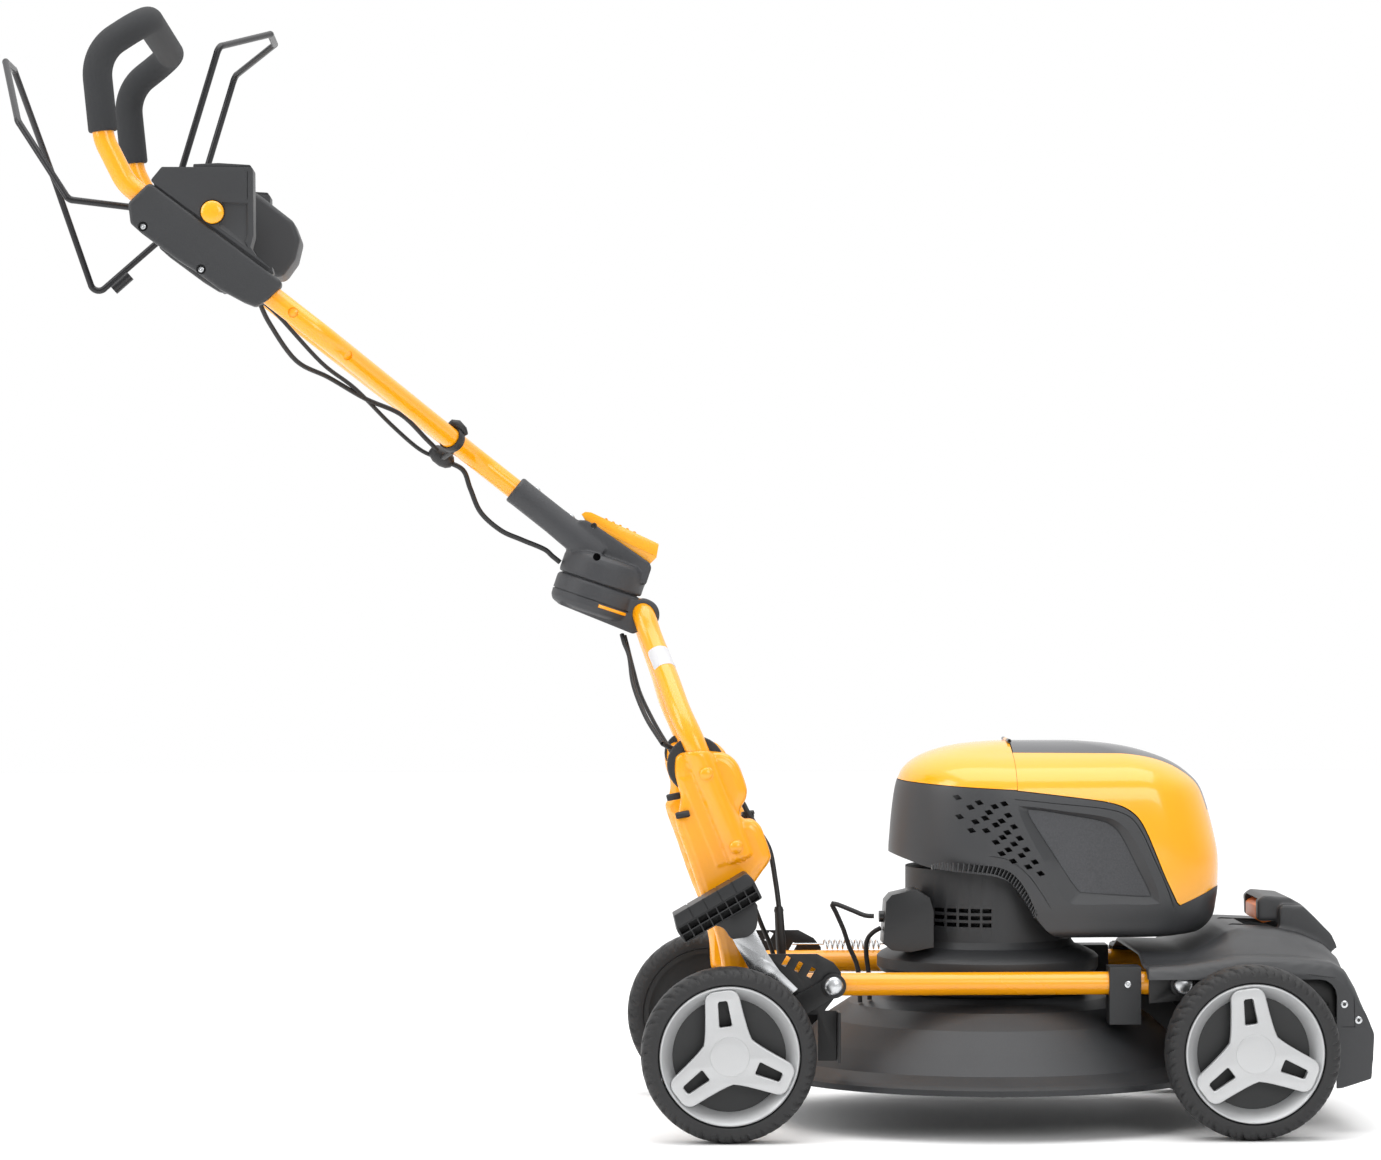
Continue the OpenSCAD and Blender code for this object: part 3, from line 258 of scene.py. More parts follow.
def fitting(name, mesh, material, on):
    """A small extra part in its own material, on the body of one solid of the frame."""
    return piece_of(name, mesh, body_of_node(on), material)


def smooth_faces(mesh, angle=32):
    """Smooth shading, with the edges sharper than the angle left crisp."""
    mesh.polygons.foreach_set("use_smooth", [True] * len(mesh.polygons))
    mesh.set_sharp_from_angle(angle=math.radians(angle))
    mesh.update()


def stand_in(name, mesh, material, angle, *nodes):
    """Puts a finished mesh in its own material in the place of solids of the frame, on the body of the last.
    """
    smooth_faces(mesh, angle)
    return piece_of(name, mesh, body_of_node(nodes[-1]), material, nodes)


def settled(made):
    """The plain mesh of an object with its modifiers, which are then gone with it."""
    bpy.context.view_layer.update()
    shape = bpy.data.meshes.new_from_object(made.evaluated_get(bpy.context.evaluated_depsgraph_get()))
    bpy.data.objects.remove(made, do_unlink=True)
    return shape


def softened(mesh, radius, segments=3, angle=28):
    """The same solid with its edges rounded."""
    made = bpy.data.objects.new("softening", mesh)
    scene.collection.objects.link(made)
    bevel = made.modifiers.new("edges", "BEVEL")
    bevel.width, bevel.segments, bevel.limit_method = radius, segments, "ANGLE"
    bevel.angle_limit, bevel.use_clamp_overlap = math.radians(angle), True
    return settled(made)


def broken_edges(node, radius, material, segments=3):
    """The frame's own solid with its sharp edges rounded, as its tool or mould leaves them."""
    shell = bmesh.new()
    shell.from_mesh(frame["nodes"][node].data)
    bmesh.ops.remove_doubles(shell, verts=shell.verts, dist=1e-5)
    bmesh.ops.dissolve_limit(shell, angle_limit=math.radians(1.2), verts=shell.verts, edges=shell.edges)
    mesh = bpy.data.meshes.new(node + "_edged")
    shell.to_mesh(mesh)
    shell.free()
    return stand_in(node + "_finished", softened(mesh, radius, segments), material, 40, node)


for node in ("rear_plates", "front_plates"):
    broken_edges(node, 0.0006, black_coat, segments=2)
broken_edges("tube_clamps", 0.0015, clamp_plastic)

# ---- bolts ----
# Zinc-plated dome nuts on the pivots, and washer-headed screws through the plates and clamps.
# All cold-headed steel, turned round their own axis.
zinc = finish("zinc_plate", "c4c6c8", 0.27, size=700, relief=0.06, mottle=0.08, change=0.14, Metallic=1.0)


def eased(a, b, x):
    """Rises smoothly from 0 at a to 1 at b."""
    t = np.clip((x - a) / (b - a), 0, 1)
    return t * t * (3 - 2 * t)


def spun(profile, steps, carve=None):
    """A closed ring spun from (radius, width) points; carve changes the radius at each place."""
    r, w = np.array(profile).T
    turn = np.linspace(0, 2 * math.pi, steps, endpoint=False)[:, None]
    radius = np.broadcast_to(r, (steps, len(r))).copy()
    if carve:
        radius -= carve(turn, r, w)
    points = np.stack([radius * np.cos(turn), radius * np.sin(turn), np.broadcast_to(w, radius.shape)], -1)
    n = len(r)
    faces = [(i * n + j, i * n + (j + 1) % n, (i + 1) % steps * n + (j + 1) % n, (i + 1) % steps * n + j)
             for i in range(steps) for j in range(n)]
    mesh = bpy.data.meshes.new("spun")
    mesh.from_pydata(points.reshape(-1, 3), [], faces)
    return mesh


def joined(*meshes):
    """Several meshes as one."""
    whole = bmesh.new()
    for mesh in meshes:
        whole.from_mesh(mesh)
    bmesh.ops.remove_doubles(whole, verts=whole.verts, dist=1e-7)
    mesh = bpy.data.meshes.new("joined")
    whole.to_mesh(mesh)
    whole.free()
    return mesh


def outward(mesh):
    """The mesh closed up, with its faces outward."""
    shell = bmesh.new()
    shell.from_mesh(mesh)
    bmesh.ops.remove_doubles(shell, verts=shell.verts, dist=1e-7)
    bmesh.ops.recalc_face_normals(shell, faces=shell.faces)
    shell.to_mesh(mesh)
    shell.free()
    return mesh


def placed(mesh, matrix, angle=32):
    """A copy of the mesh put in place, its faces outward again where that mirrors it."""
    copy = mesh.copy()
    copy.transform(matrix)
    smooth_faces(outward(copy), angle)
    return copy


def barrel(x, z, r, y0, y1, steps=20):
    """A short round bar across the mower."""
    points = [(x + r * math.cos(a), y, z + r * math.sin(a)) for y in (y0, y1)
              for a in np.linspace(0, 2 * math.pi, steps, endpoint=False)]
    mesh = bpy.data.meshes.new("barrel")
    mesh.from_pydata(points, [], [tuple(range(steps)), tuple(range(2 * steps - 1, steps - 1, -1))]
                     + [(i, steps + i, steps + (i + 1) % steps, (i + 1) % steps) for i in range(steps)])
    return outward(mesh)


def facing(x, y, z, side):
    """The place of a turned piece whose face looks to one side of the mower."""
    return Matrix(((1, 0, 0, x), (0, 0, side, y), (0, 1, 0, z), (0, 0, 0, 1)))


def across(profile, x, z, y, side=-1):
    """A turned piece with its axis across the mower; its profile counts from y outward."""
    return placed(spun(profile, 36), facing(x, side * y, z, side), 30)


def dome(r, h, flange=1.0):
    """Half profile of a dome head on its washer."""
    rise = [(0.0001, 0.0), (r * flange, 0.0), (r * flange, h * 0.16), (r * 0.99, h * 0.22)]
    rise += [(r * math.cos(a), h * (0.22 + 0.78 * math.sin(a)))
             for a in np.radians([12, 25, 38, 51, 64, 77, 86])]
    return rise + [(0.0001, h)]


def cross_screw(r, h):
    """Half profile of a pan-head screw with a recess in its face."""
    return [(0.0001, 0.0), (r, 0.0), (r * 0.98, h * 0.45), (r * 0.86, h * 0.85), (r * 0.6, h), (r * 0.42, h),
            (r * 0.34, h * 0.45), (0.0001, h * 0.35)]


PIVOT_Z = 0.154
pivots = [(x, side) for x in (-0.176, 0.188) for side in (-1, 1)]
domes = [across(dome(0.0100, 0.0070), x, PIVOT_Z, 0.1538, side) for x, side in pivots]
shanks = [barrel(x, PIVOT_Z, 0.006, side * 0.118, side * 0.1545) for x, side in pivots]
piece_of("pivot_nuts", joined(*domes, *shanks), "chassis", zinc, ["pivot_bolts"])

# ---- height carriers ----
# Rear and front arms are black coated flat steel, welded to their cross bars. Each turns on the
# plates, and carries a plain steel axle.
for node in ("rear_arms", "front_arms"):
    broken_edges(node, 0.0007, black_coat, segments=2)
axle_steel = finish("axle_steel", "a2a4a7", 0.32, size=500, relief=0.08, mottle=0.1, Metallic=1.0)
dress(axle_steel, "rear_axle", "front_axle")

# ---- height pedal ----
# A lever of pressed steel, zinc plated, turns on the rear carrier's pivot. Its outer end is left
# straight to take the moulded tread.
broken_edges("pedal_lever", 0.0008, zinc, segments=2)

# ---- wheels ----
# Four alike: a rubber tyre with angled shoulder lugs on a black moulded core, and a silver-painted
# trim with three slotted spokes snapped into its face. They run free on plain axles.
tyre_rubber = finish("tyre_rubber", "1e1e1f", 0.62, size=1300, relief=0.3, mottle=0.3, change=0.16)
core_plastic = finish("core_plastic", "1c1d1e", 0.5, size=1200, relief=0.35, mottle=0.3)
silver_paint = finish("silver_paint", "b9babb", 0.36, size=1500, relief=0.08, mottle=0.07, Metallic=0.45)
WHEEL_W, LUGS = 0.044, 34
SPOKE_TURN = math.radians(97.5)


def through(points, count, closed=False):
    """Evenly many points on a smooth line through the given ones."""
    p = [np.array(q, float) for q in points]
    p = [p[-1]] + p + [p[0], p[1]] if closed else [2 * p[0] - p[1]] + p + [2 * p[-1] - p[-2]]
    line = []
    for a, b, c, d in zip(p, p[1:], p[2:], p[3:]):
        for k in range(count):
            t = k / count
            line.append(0.5 * (2 * b + (c - a) * t + (2 * a - 5 * b + 4 * c - d) * t ** 2
                               + (3 * b - a - 3 * c + d) * t ** 3))
    return line if closed else line + [p[-2]]


def lug_grooves(turn, r, w):
    """Depth of the grooves between the lugs: slanted on each shoulder, none at the middle."""
    side = np.abs(w / WHEEL_W - 0.5) * 2
    slant = 0.55 * eased(0.25, 1.0, side) * np.where(w > WHEEL_W / 2, 1, -1)
    phase = (turn / (2 * math.pi) * LUGS + slant + np.where(w > WHEEL_W / 2, 0, 0.5)) % 1
    slot = eased(0.0, 0.1, phase) * (1 - eased(0.2, 0.3, phase))
    reach = eased(0.22, 0.34, side) * eased(0.079, 0.083, r)
    hook = eased(0.62, 0.68, phase) * (1 - eased(0.74, 0.8, phase)) * eased(0.7, 0.8, side)
    return 0.0026 * slot * reach + 0.0014 * hook * eased(0.08, 0.084, r)


tyre_line = [(0.0731, 0.002), (0.0742, 0.0006), (0.0790, 0.0002), (0.0840, 0.0016), (0.0876, 0.0052),
             (0.0894, 0.0100), (0.0900, 0.0160), (0.0900, 0.0220), (0.0900, 0.0280), (0.0894, 0.0340),
             (0.0876, 0.0388), (0.0840, 0.0424), (0.0790, 0.0438), (0.0742, 0.0434), (0.0731, 0.042)]
tyre_ring = [tuple(p) for p in through(tyre_line, 4)]
core_ring = [(0.0062, 0.001), (0.018, 0.001), (0.0182, 0.014), (0.067, 0.014), (0.0675, 0.003),
             (0.0728, 0.003), (0.0728, 0.0405), (0.0718, 0.0412), (0.0708, 0.0404), (0.0700, 0.0290),
             (0.058, 0.0272), (0.030, 0.0262), (0.0062, 0.0260)]
rim_ring = [(0.0718, 0.0392), (0.0716, 0.0420), (0.0708, 0.0428), (0.0698, 0.0426), (0.0640, 0.0365),
            (0.0586, 0.0288), (0.0580, 0.0276), (0.0600, 0.0276), (0.0690, 0.0392)]
badge_ring = [(0.0002, 0.0415), (0.0198, 0.0415), (0.0203, 0.0431), (0.0199, 0.0439), (0.0190, 0.0441),
              (0.0120, 0.0443), (0.0002, 0.0444)]


def spoke_star():
    """The three slotted spokes as one plate with rounded edges."""
    half = [(0.0135, -0.0234), (0.0200, -0.0216), (0.0280, -0.0200), (0.0420, -0.0180), (0.0570, -0.0162)]
    half += [(0.0570 + 0.0090 * math.cos(a), -0.0072 + 0.0090 * math.sin(a))
             for a in np.radians([-75, -50, -25, 0])]
    arm = half + [(x, -y) for x, y in reversed(half[1:])]
    slot = [(0.0310, -0.0082), (0.0560, -0.0064), (0.0585, -0.0040), (0.0585, 0.0040), (0.0560, 0.0064),
            (0.0310, 0.0082), (0.0290, 0.0060), (0.0290, -0.0060)]
    plate = bpy.data.curves.new("spokes", "CURVE")
    plate.dimensions, plate.fill_mode = "2D", "BOTH"
    plate.extrude, plate.bevel_depth, plate.bevel_resolution = 0.0030, 0.0016, 3
    turned = lambda p, k: (math.cos(k) * p[0] - math.sin(k) * p[1], math.sin(k) * p[0] + math.cos(k) * p[1])
    thirds = [SPOKE_TURN + i * 2 * math.pi / 3 for i in range(3)]
    star = [turned(p, k) for k in thirds for p in arm]
    for line in [star] + [[turned(p, k) for p in slot] for k in thirds]:
        edge = plate.splines.new("POLY")
        edge.points.add(len(line) - 1)
        for point, (x, y) in zip(edge.points, line):
            point.co = (x, y, 0.0388, 1)
        edge.use_cyclic_u = True
    made = bpy.data.objects.new("spokes", plate)
    scene.collection.objects.link(made)
    return settled(made)


tyre = spun(tyre_ring, LUGS * 14, lug_grooves)
core = spun(core_ring, 96)
trim = joined(spun(rim_ring, 128), spoke_star(), spun(badge_ring, 64))
WHEEL_PIECES = [("tyre_", tyre, tyre_rubber), ("core_", core, core_plastic), ("trim_", trim, silver_paint)]
for wheel in ("rear_right", "rear_left", "front_right", "front_left"):
    low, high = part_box("tyre_" + wheel)
    middle = (Vector(low) + Vector(high)) / 2
    out = -1 if wheel.endswith("right") else 1
    face = facing(middle.x, middle.y - out * WHEEL_W / 2, middle.z, out)
    for name, mesh, material in WHEEL_PIECES:
        stand_in(name + wheel + "_made", placed(mesh, face, 34), material, 34, name + wheel)

# ---- front latch ----
# An orange moulded lever under the carry handle of the front cover. Pressed down, it lifts the
# carrier's pin out of its slot.
latch_plastic = finish("latch_plastic", "e87a16", 0.4, size=900, relief=0.15, mottle=0.06)
broken_edges("front_latch", 0.0012, latch_plastic)

# ---- motor and blade ----
# A moulded base on the deck holds the motor: a wound stator, and a rotor on its spindle. The blade
# under the deck is forged steel, bolted to its hub.
base_plastic = finish("base_plastic", "28292b", 0.5, size=1500, relief=0.35, mottle=0.16)
base = broken_edges("motor_base", 0.0015, base_plastic)
# a dust shield stands behind the grille
shield = spun([(0.0725, 0.200), (0.0735, 0.200), (0.0735, 0.238), (0.0725, 0.238)], 64)


def added(piece, material, *meshes):
    """Adds meshes to a finished piece of the same material."""
    piece.data = joined(piece.data, *meshes)
    piece.data.materials.append(material)
    smooth_faces(piece.data, 40)


added(base, base_plastic, outward(shield))
blade_steel = finish("blade_steel", "6d6f72", 0.38, size=260, relief=0.12, mottle=0.25, change=0.2,
                     Metallic=1.0)
copper = finish("copper", "b8683a", 0.35, size=600, relief=0.4, mottle=0.2, Metallic=1.0)
motor_steel = finish("motor_steel", "8c8e92", 0.35, size=400, relief=0.1, mottle=0.15, Metallic=1.0)
dress(blade_steel, "blade", "blade_bolt", "blade_hub")
dress(copper, "stator")
dress(motor_steel, "rotor", "spindle", "motor_bearings")

# ---- motor and battery housing ----
# A moulded shell in five pieces: the dark body with its air slots and side panels, the yellow rear cap
# and hinged lid, and the black strip over the lid. They meet along open seams, screwed from inside.
housing_plastic = finish("housing_plastic", "343537", 0.43, size=1500, relief=0.28, mottle=0.12)
panel_plastic = finish("panel_plastic", "3a3b3e", 0.46, size=520, relief=0.4, depth=0.0004, mottle=0.35)
yellow_plastic = finish("yellow_plastic", "f5a600", 0.24, size=300, relief=0.03, mottle=0.02,
                        Coat_Weight=0.6, Coat_Roughness=0.08)
strip_plastic = finish("strip_plastic", "35363a", 0.3, size=1500, relief=0.12, mottle=0.1, Coat_Weight=0.3)
BELLY, SEAM, WALL = 0.113, 0.0006, 0.0035
# how far the cutting blocks stand out past one flank, and past both
OUTSIDE, WIDE = 0.125, 0.2
# a height over the crown, in millimetres, to which the side outlines run up
ABOVE = 420
# height, rear end, front end and half width of the shell, from its underside to its crown
SHELL_LEVELS = [(0.198, -0.040, 0.203, 0.094), (0.2025, -0.058, 0.222, 0.103), (0.216, -0.070, 0.235, 0.1070),
                (0.234, -0.088, 0.239, 0.1115), (0.252, -0.102, 0.241, 0.113), (0.280, -0.106, 0.241, 0.113),
                (0.303, -0.105, 0.237, 0.113), (0.334, -0.102, 0.229, 0.111), (0.357, -0.098, 0.220, 0.1068),
                (0.372, -0.091, 0.205, 0.0965), (0.383, -0.078, 0.187, 0.0800),
                (0.391, -0.060, 0.164, 0.0590), (0.397, -0.036, 0.135, 0.0400),
                (0.4005, -0.004, 0.100, 0.0220), (0.4012, 0.020, 0.075, 0.0100)]


def plan(rear, front, half, inset):
    """The outline of the shell at one level: round behind, squarer ahead."""
    line = []
    for turn in np.linspace(math.pi / 2, math.pi * 3 / 2, 49):
        line.append((rear + half + (half - inset) * math.cos(turn), (half - inset) * math.sin(turn)))
    corner = half * 0.62
    for side, start in ((-1, -math.pi / 2), (1, 0)):
        for turn in np.linspace(start, start + math.pi / 2, 25):
            line.append((front - corner + (corner - inset) * math.cos(turn),
                         side * (half - corner - 0.005 * half / BELLY) + (corner - inset) * math.sin(turn)))
    line = np.array(line)
    # evenly spaced round the outline, so that every level has the same points
    gaps = np.r_[0, np.cumsum(np.hypot(*np.diff(np.vstack([line, line[:1]]), axis=0).T))]
    want = np.linspace(0, gaps[-1], 176, endpoint=False)
    return np.stack([np.interp(want, gaps, np.r_[line[:, k], line[0, k]]) for k in (0, 1)], -1)


def lofted(rings):
    """A closed skin over rings of points that all have the same count."""
    n = len(rings[0])
    faces = [(i * n + j, i * n + (j + 1) % n, (i + 1) * n + (j + 1) % n, (i + 1) * n + j)
             for i in range(len(rings) - 1) for j in range(n)]
    faces += [tuple(range(n))[::-1], tuple(range((len(rings) - 1) * n, len(rings) * n))]
    mesh = bpy.data.meshes.new("lofted")
    mesh.from_pydata(np.vstack(rings).tolist(), [], faces)
    return outward(mesh)


def shell_form(inset=0.0):
    """The whole shell as one closed form, or the space inside it."""
    levels = through([np.array(v) for v in SHELL_LEVELS], 5)
    rings = []
    for i, (z, rear, front, half) in enumerate(levels):
        ring = plan(rear, front, half, min(inset, half * 0.5))
        height = z + inset * (1 - 2 * i / (len(levels) - 1)) if inset else z
        rings.append(np.c_[ring, np.full(len(ring), height)])
    return lofted(rings)


def slab(line, y0, y1, inner=None):
    """A block with a side outline in millimetres; inner is its outline at y1 where that differs."""
    near, far = ([(x / 1000, y(x / 1000) if callable(y) else y, z / 1000) for x, z in path]
                 for path, y in ((line, y0), (inner or line, y1)))
    n = len(near)
    mesh = bpy.data.meshes.new("slab")
    mesh.from_pydata(near + far, [], [tuple(range(n)), tuple(range(2 * n - 1, n - 1, -1))]
                     + [(i, n + i, n + (i + 1) % n, (i + 1) % n) for i in range(n)])
    return outward(mesh)


def shaped(mesh, *steps):
    """The mesh after a row of cuts: pairs of DIFFERENCE, INTERSECT or UNION and a cutting mesh."""
    made = bpy.data.objects.new("shaping", mesh.copy())
    scene.collection.objects.link(made)
    tools = []
    for way, tool in steps:
        cutter = bpy.data.objects.new("cutter", tool)
        scene.collection.objects.link(cutter)
        step = made.modifiers.new(way, "BOOLEAN")
        step.operation, step.solver, step.object = way, "EXACT", cutter
        tools.append(cutter)
    result = settled(made)
    for cutter in tools:
        bpy.data.objects.remove(cutter, do_unlink=True)
    return result


def cut(mesh, *tools):
    """The mesh less all the tools, cut one after another."""
    return shaped(mesh, *[("DIFFERENCE", tool) for tool in tools])


def smooth_line(points, count, closed=False):
    """A smooth side outline through the given points."""
    return [tuple(p) for p in through(points, count, closed)]


lid_low = smooth_line([(20, 353.5), (50, 350), (82, 346), (108, 342.5), (124, 339), (136, 334), (147, 325),
                       (156, 310), (165, 289), (176, 262), (189, 235)], 4)
lid_edge = [(20, ABOVE)] + lid_low + [(192, 232.5), (233, 249), (260, 252), (260, ABOVE)]
cap_edge = [(-130, ABOVE), (-130, 362.8), (-106, 362), (-91, 360.4), (-43, 357.4), (20, 354.2), (20, ABOVE)]
under_low = smooth_line([(-108, 284), (-89, 277.5), (-70, 271.5), (-38, 267.5), (-10, 265), (4, 261.5),
                         (14, 255.5), (24, 244), (36, 226), (47, 211), (57, 202), (66, 198.5)], 4)
under_edge = [(-140, 292)] + under_low + [(78, 197), (78, 180), (-140, 180)]
grown = lambda line, dx, dz: [(x + dx, z + dz) for x, z in line]


def side_y(depth, side=-1):
    """The flank of the shell at a place along it, less a depth."""
    return lambda x: side * (BELLY - 0.0305 * (x - 0.007) - depth)


panel_outer = smooth_line([(17, 334), (23, 339.5), (73, 333), (108, 328), (124, 323), (138, 310), (156, 276),
                           (171, 239), (167, 231.5), (126, 231.5), (83, 231.5), (69, 240), (42, 290)],
                          5, closed=True)
panel_inner = smooth_line([(31.5, 329), (38, 333.5), (76, 327.5), (104, 322.5), (119, 317), (130, 305),
                           (146, 274), (160, 245.5), (156, 242), (123, 244), (93, 246), (82, 251),
                           (56, 290)], 5, closed=True)

# the recess widens outward by a little more than its own slope
panel_rim = [(a + 0.29 * (a - b), c + 0.29 * (c - d)) for (a, c), (b, d) in zip(panel_outer, panel_inner)]
vent_top = smooth_line([(-72, 274), (-64, 277), (-48, 277), (-31, 276.4), (-15, 275.4), (-1, 273.6),
                        (11, 269), (20, 261.5), (27, 252), (33, 241), (38, 230), (41, 224)], 3)
vent_low = smooth_line([(-73, 272.4), (-66, 272.8), (-50, 271), (-34, 269.6), (-19, 268.2), (-6, 266.4),
                        (5, 262.5), (14, 255.5), (21, 247), (28, 237), (34, 226), (38, 219)], 3)
vent_edge = vent_top + vent_low[::-1]


def ribbon(line, half):
    """A narrow closed band along a line, in millimetres."""
    p = np.array(line, float)
    along = np.gradient(p, axis=0)
    aside = np.c_[-along[:, 1], along[:, 0]] / np.hypot(*along.T)[:, None] * half
    return [tuple(v) for v in np.vstack([p + aside, (p - aside)[::-1]])]


band_line = smooth_line([(17, 344.5), (60, 340), (104, 335.5), (127, 331), (141, 323.5), (152, 308),
                         (163, 284), (177, 253), (191, 214)], 5)
service_line = smooth_line([(-72, 277.5), (-71.6, 284), (-71, 288.5), (-66, 288.6), (-34, 286.8), (0, 284),
                            (14, 279), (26, 270), (36, 259), (47, 243), (56.5, 227.5)], 5)
# diamond air slots, by their middles
DIAMONDS = [(-42, 346), (-29, 336), (-20, 341), (-40, 326), (-24, 321), (-10, 331), (-4, 337), (6, 340),
            (10, 328), (-14, 325), (3, 322), (-3, 318), (-28, 312), (-13, 312), (9, 310), (16, 316),
            (22, 304), (4, 305), (-3, 300), (16, 298), (29, 292), (10, 292), (3, 288), (24, 286), (15, 280),
            (38, 279), (31, 274), (44, 267)]


def slot_tree():
    """Geometry nodes: one slot-shaped block at every given point, as plain mesh."""
    tree = bpy.data.node_groups.new("air_slots", "GeometryNodeTree")
    tree.interface.new_socket("Points", in_out="INPUT", socket_type="NodeSocketGeometry")
    for label, value in (("Half width", 0.0050), ("Depth", 0.036)):
        tree.interface.new_socket(label, in_out="INPUT", socket_type="NodeSocketFloat").default_value = value
    tree.interface.new_socket("Material", in_out="INPUT", socket_type="NodeSocketMaterial")
    tree.interface.new_socket("Slots", in_out="OUTPUT", socket_type="NodeSocketGeometry")
    make, link = tree.nodes.new, tree.links.new
    ends, leave = make("NodeGroupInput"), make("NodeGroupOutput")
    ring = make("GeometryNodeMeshCircle")
    ring.fill_type = "NGON"
    ring.inputs["Vertices"].default_value = 4
    squash = make("GeometryNodeTransform")
    squash.inputs["Scale"].default_value = (1.0, 0.62, 1.0)
    raise_up = make("GeometryNodeExtrudeMesh")
    flip = make("GeometryNodeTransform")
    flip.inputs["Rotation"].default_value = (math.radians(90), math.radians(17), 0)
    scatter = make("GeometryNodeInstanceOnPoints")
    real, paint = make("GeometryNodeRealizeInstances"), make("GeometryNodeSetMaterial")
    closing, turned = make("GeometryNodeJoinGeometry"), make("GeometryNodeFlipFaces")
    link(ends.outputs["Half width"], ring.inputs["Radius"])
    link(ring.outputs["Mesh"], squash.inputs["Geometry"])
    link(squash.outputs["Geometry"], raise_up.inputs["Mesh"])
    link(ends.outputs["Depth"], raise_up.inputs["Offset Scale"])
    link(squash.outputs["Geometry"], turned.inputs["Mesh"])
    link(raise_up.outputs["Mesh"], closing.inputs["Geometry"])
    link(turned.outputs["Mesh"], closing.inputs["Geometry"])
    link(closing.outputs["Geometry"], flip.inputs["Geometry"])
    link(ends.outputs["Points"], scatter.inputs["Points"])
    link(flip.outputs["Geometry"], scatter.inputs["Instance"])
    link(scatter.outputs["Instances"], real.inputs["Geometry"])
    link(real.outputs["Geometry"], paint.inputs["Geometry"])
    link(ends.outputs["Material"], paint.inputs["Material"])
    link(paint.outputs["Geometry"], leave.inputs["Slots"])
    return tree


def grown_by(tree, points, material):
    """The mesh that a node tree grows on the given points."""
    seeds = bpy.data.meshes.new("seeds")
    seeds.from_pydata(points, [], [])
    made = bpy.data.objects.new("seeds", seeds)
    scene.collection.objects.link(made)
    grower = made.modifiers.new("grower", "NODES")
    grower.node_group = tree
    for item in tree.interface.items_tree:
        if item.item_type == "SOCKET" and item.in_out == "INPUT" and item.name == "Material":
            grower[item.identifier] = material
    return settled(made)


whole_shell, inner_space = shell_form(), shell_form(WALL)
slot_places = [(x / 1000, y, z / 1000) for x, z in DIAMONDS for y in (-BELLY + 0.022, BELLY + 0.014)]
hollows = [slab(grown(lid_edge, -0.6, -0.6), -WIDE, WIDE), slab(grown(cap_edge, 0.6, -0.7), -WIDE, WIDE),
           slab(under_edge, -WIDE, WIDE)]
for side in (-1, 1):
    hollows.append(slab(panel_rim, side_y(-0.0018, side), side_y(0.0062, side), panel_inner))
    hollows.append(slab(vent_edge, side * OUTSIDE, side_y(0.010, side)))
    hollows.append(slab(ribbon(service_line, 0.35), side * OUTSIDE, side_y(0.0022, side)))
    hollows.append(slab(ribbon(band_line, 0.4), side * OUTSIDE, side_y(0.0045, side)))
hollows.append(outward(grown_by(slot_tree(), slot_places, housing_plastic)))
# the battery bay, open upwards, and the space over the motor
hollows.append(slab([(96, 212), (206, 212), (206, ABOVE), (96, ABOVE)], -0.083, 0.083))
hollows.append(slab([(-70, 300), (88, 300), (88, ABOVE), (-70, ABOVE)], -0.062, 0.062))
# stiffening ribs across the air vent under the flank
ribs = [slab([(x0 - 0.6, z0 + 1), (x0 + 0.6, z0 + 1), (x1 + 1.8, z1 - 1), (x1 + 0.6, z1 - 1)],
             side_y(0.0102, side), side_y(0.0016, side))
        for (x0, z0), (x1, z1) in zip(vent_top[1:-1], vent_low[1:-1]) for side in (-1, 1)]
body_shell = joined(cut(whole_shell, *hollows), *ribs)
stand_in("housing_body_moulded", body_shell, housing_plastic, 24, "housing_body")

# ---- battery lid, rear cap and strip ----
# The yellow pieces are thin glossy mouldings. The lid swings up on a small barrel hinge
# over the battery bay, and carries the black strip; the cap behind it stays put.
HINGE_X, HINGE_Z, KNUCKLE_R, STRIP_HALF = 0.020, 0.402, 0.0022, 0.058


def thin_shell(edge):
    """The part of the shell inside a side outline, hollowed to its wall."""
    return shaped(whole_shell, ("INTERSECT", slab(edge, -WIDE, WIDE)), ("DIFFERENCE", inner_space.copy()))


hinge = [barrel(HINGE_X, HINGE_Z, KNUCKLE_R, -0.012, 0.012), barrel(HINGE_X, HINGE_Z, 0.001, -0.03, 0.03)]
cap_shell = joined(thin_shell(grown(cap_edge, -0.1, 0.1)), *hinge)
stand_in("rear_cap_moulded", cap_shell, yellow_plastic, 24, "rear_cap")

lid_form = thin_shell(grown(lid_edge, 0.3, 0.2))
strip_room = slab([(15, 330), (270, 330), (270, 430), (15, 430)], -STRIP_HALF - SEAM, STRIP_HALF + SEAM)
stand_in("lid_shell_moulded", cut(lid_form, strip_room), yellow_plastic, 24, "lid_shell")

strip_way = slab([(21, 330), (260, 330), (260, ABOVE), (21, ABOVE)], -STRIP_HALF, STRIP_HALF)
knuckles = [barrel(HINGE_X, HINGE_Z, KNUCKLE_R, s * 0.0125, s * 0.030) for s in (-1, 1)]
strip_shell = joined(shaped(lid_form, ("INTERSECT", strip_way)), *knuckles)
stand_in("lid_strip_moulded", strip_shell, strip_plastic, 24, "lid_strip")

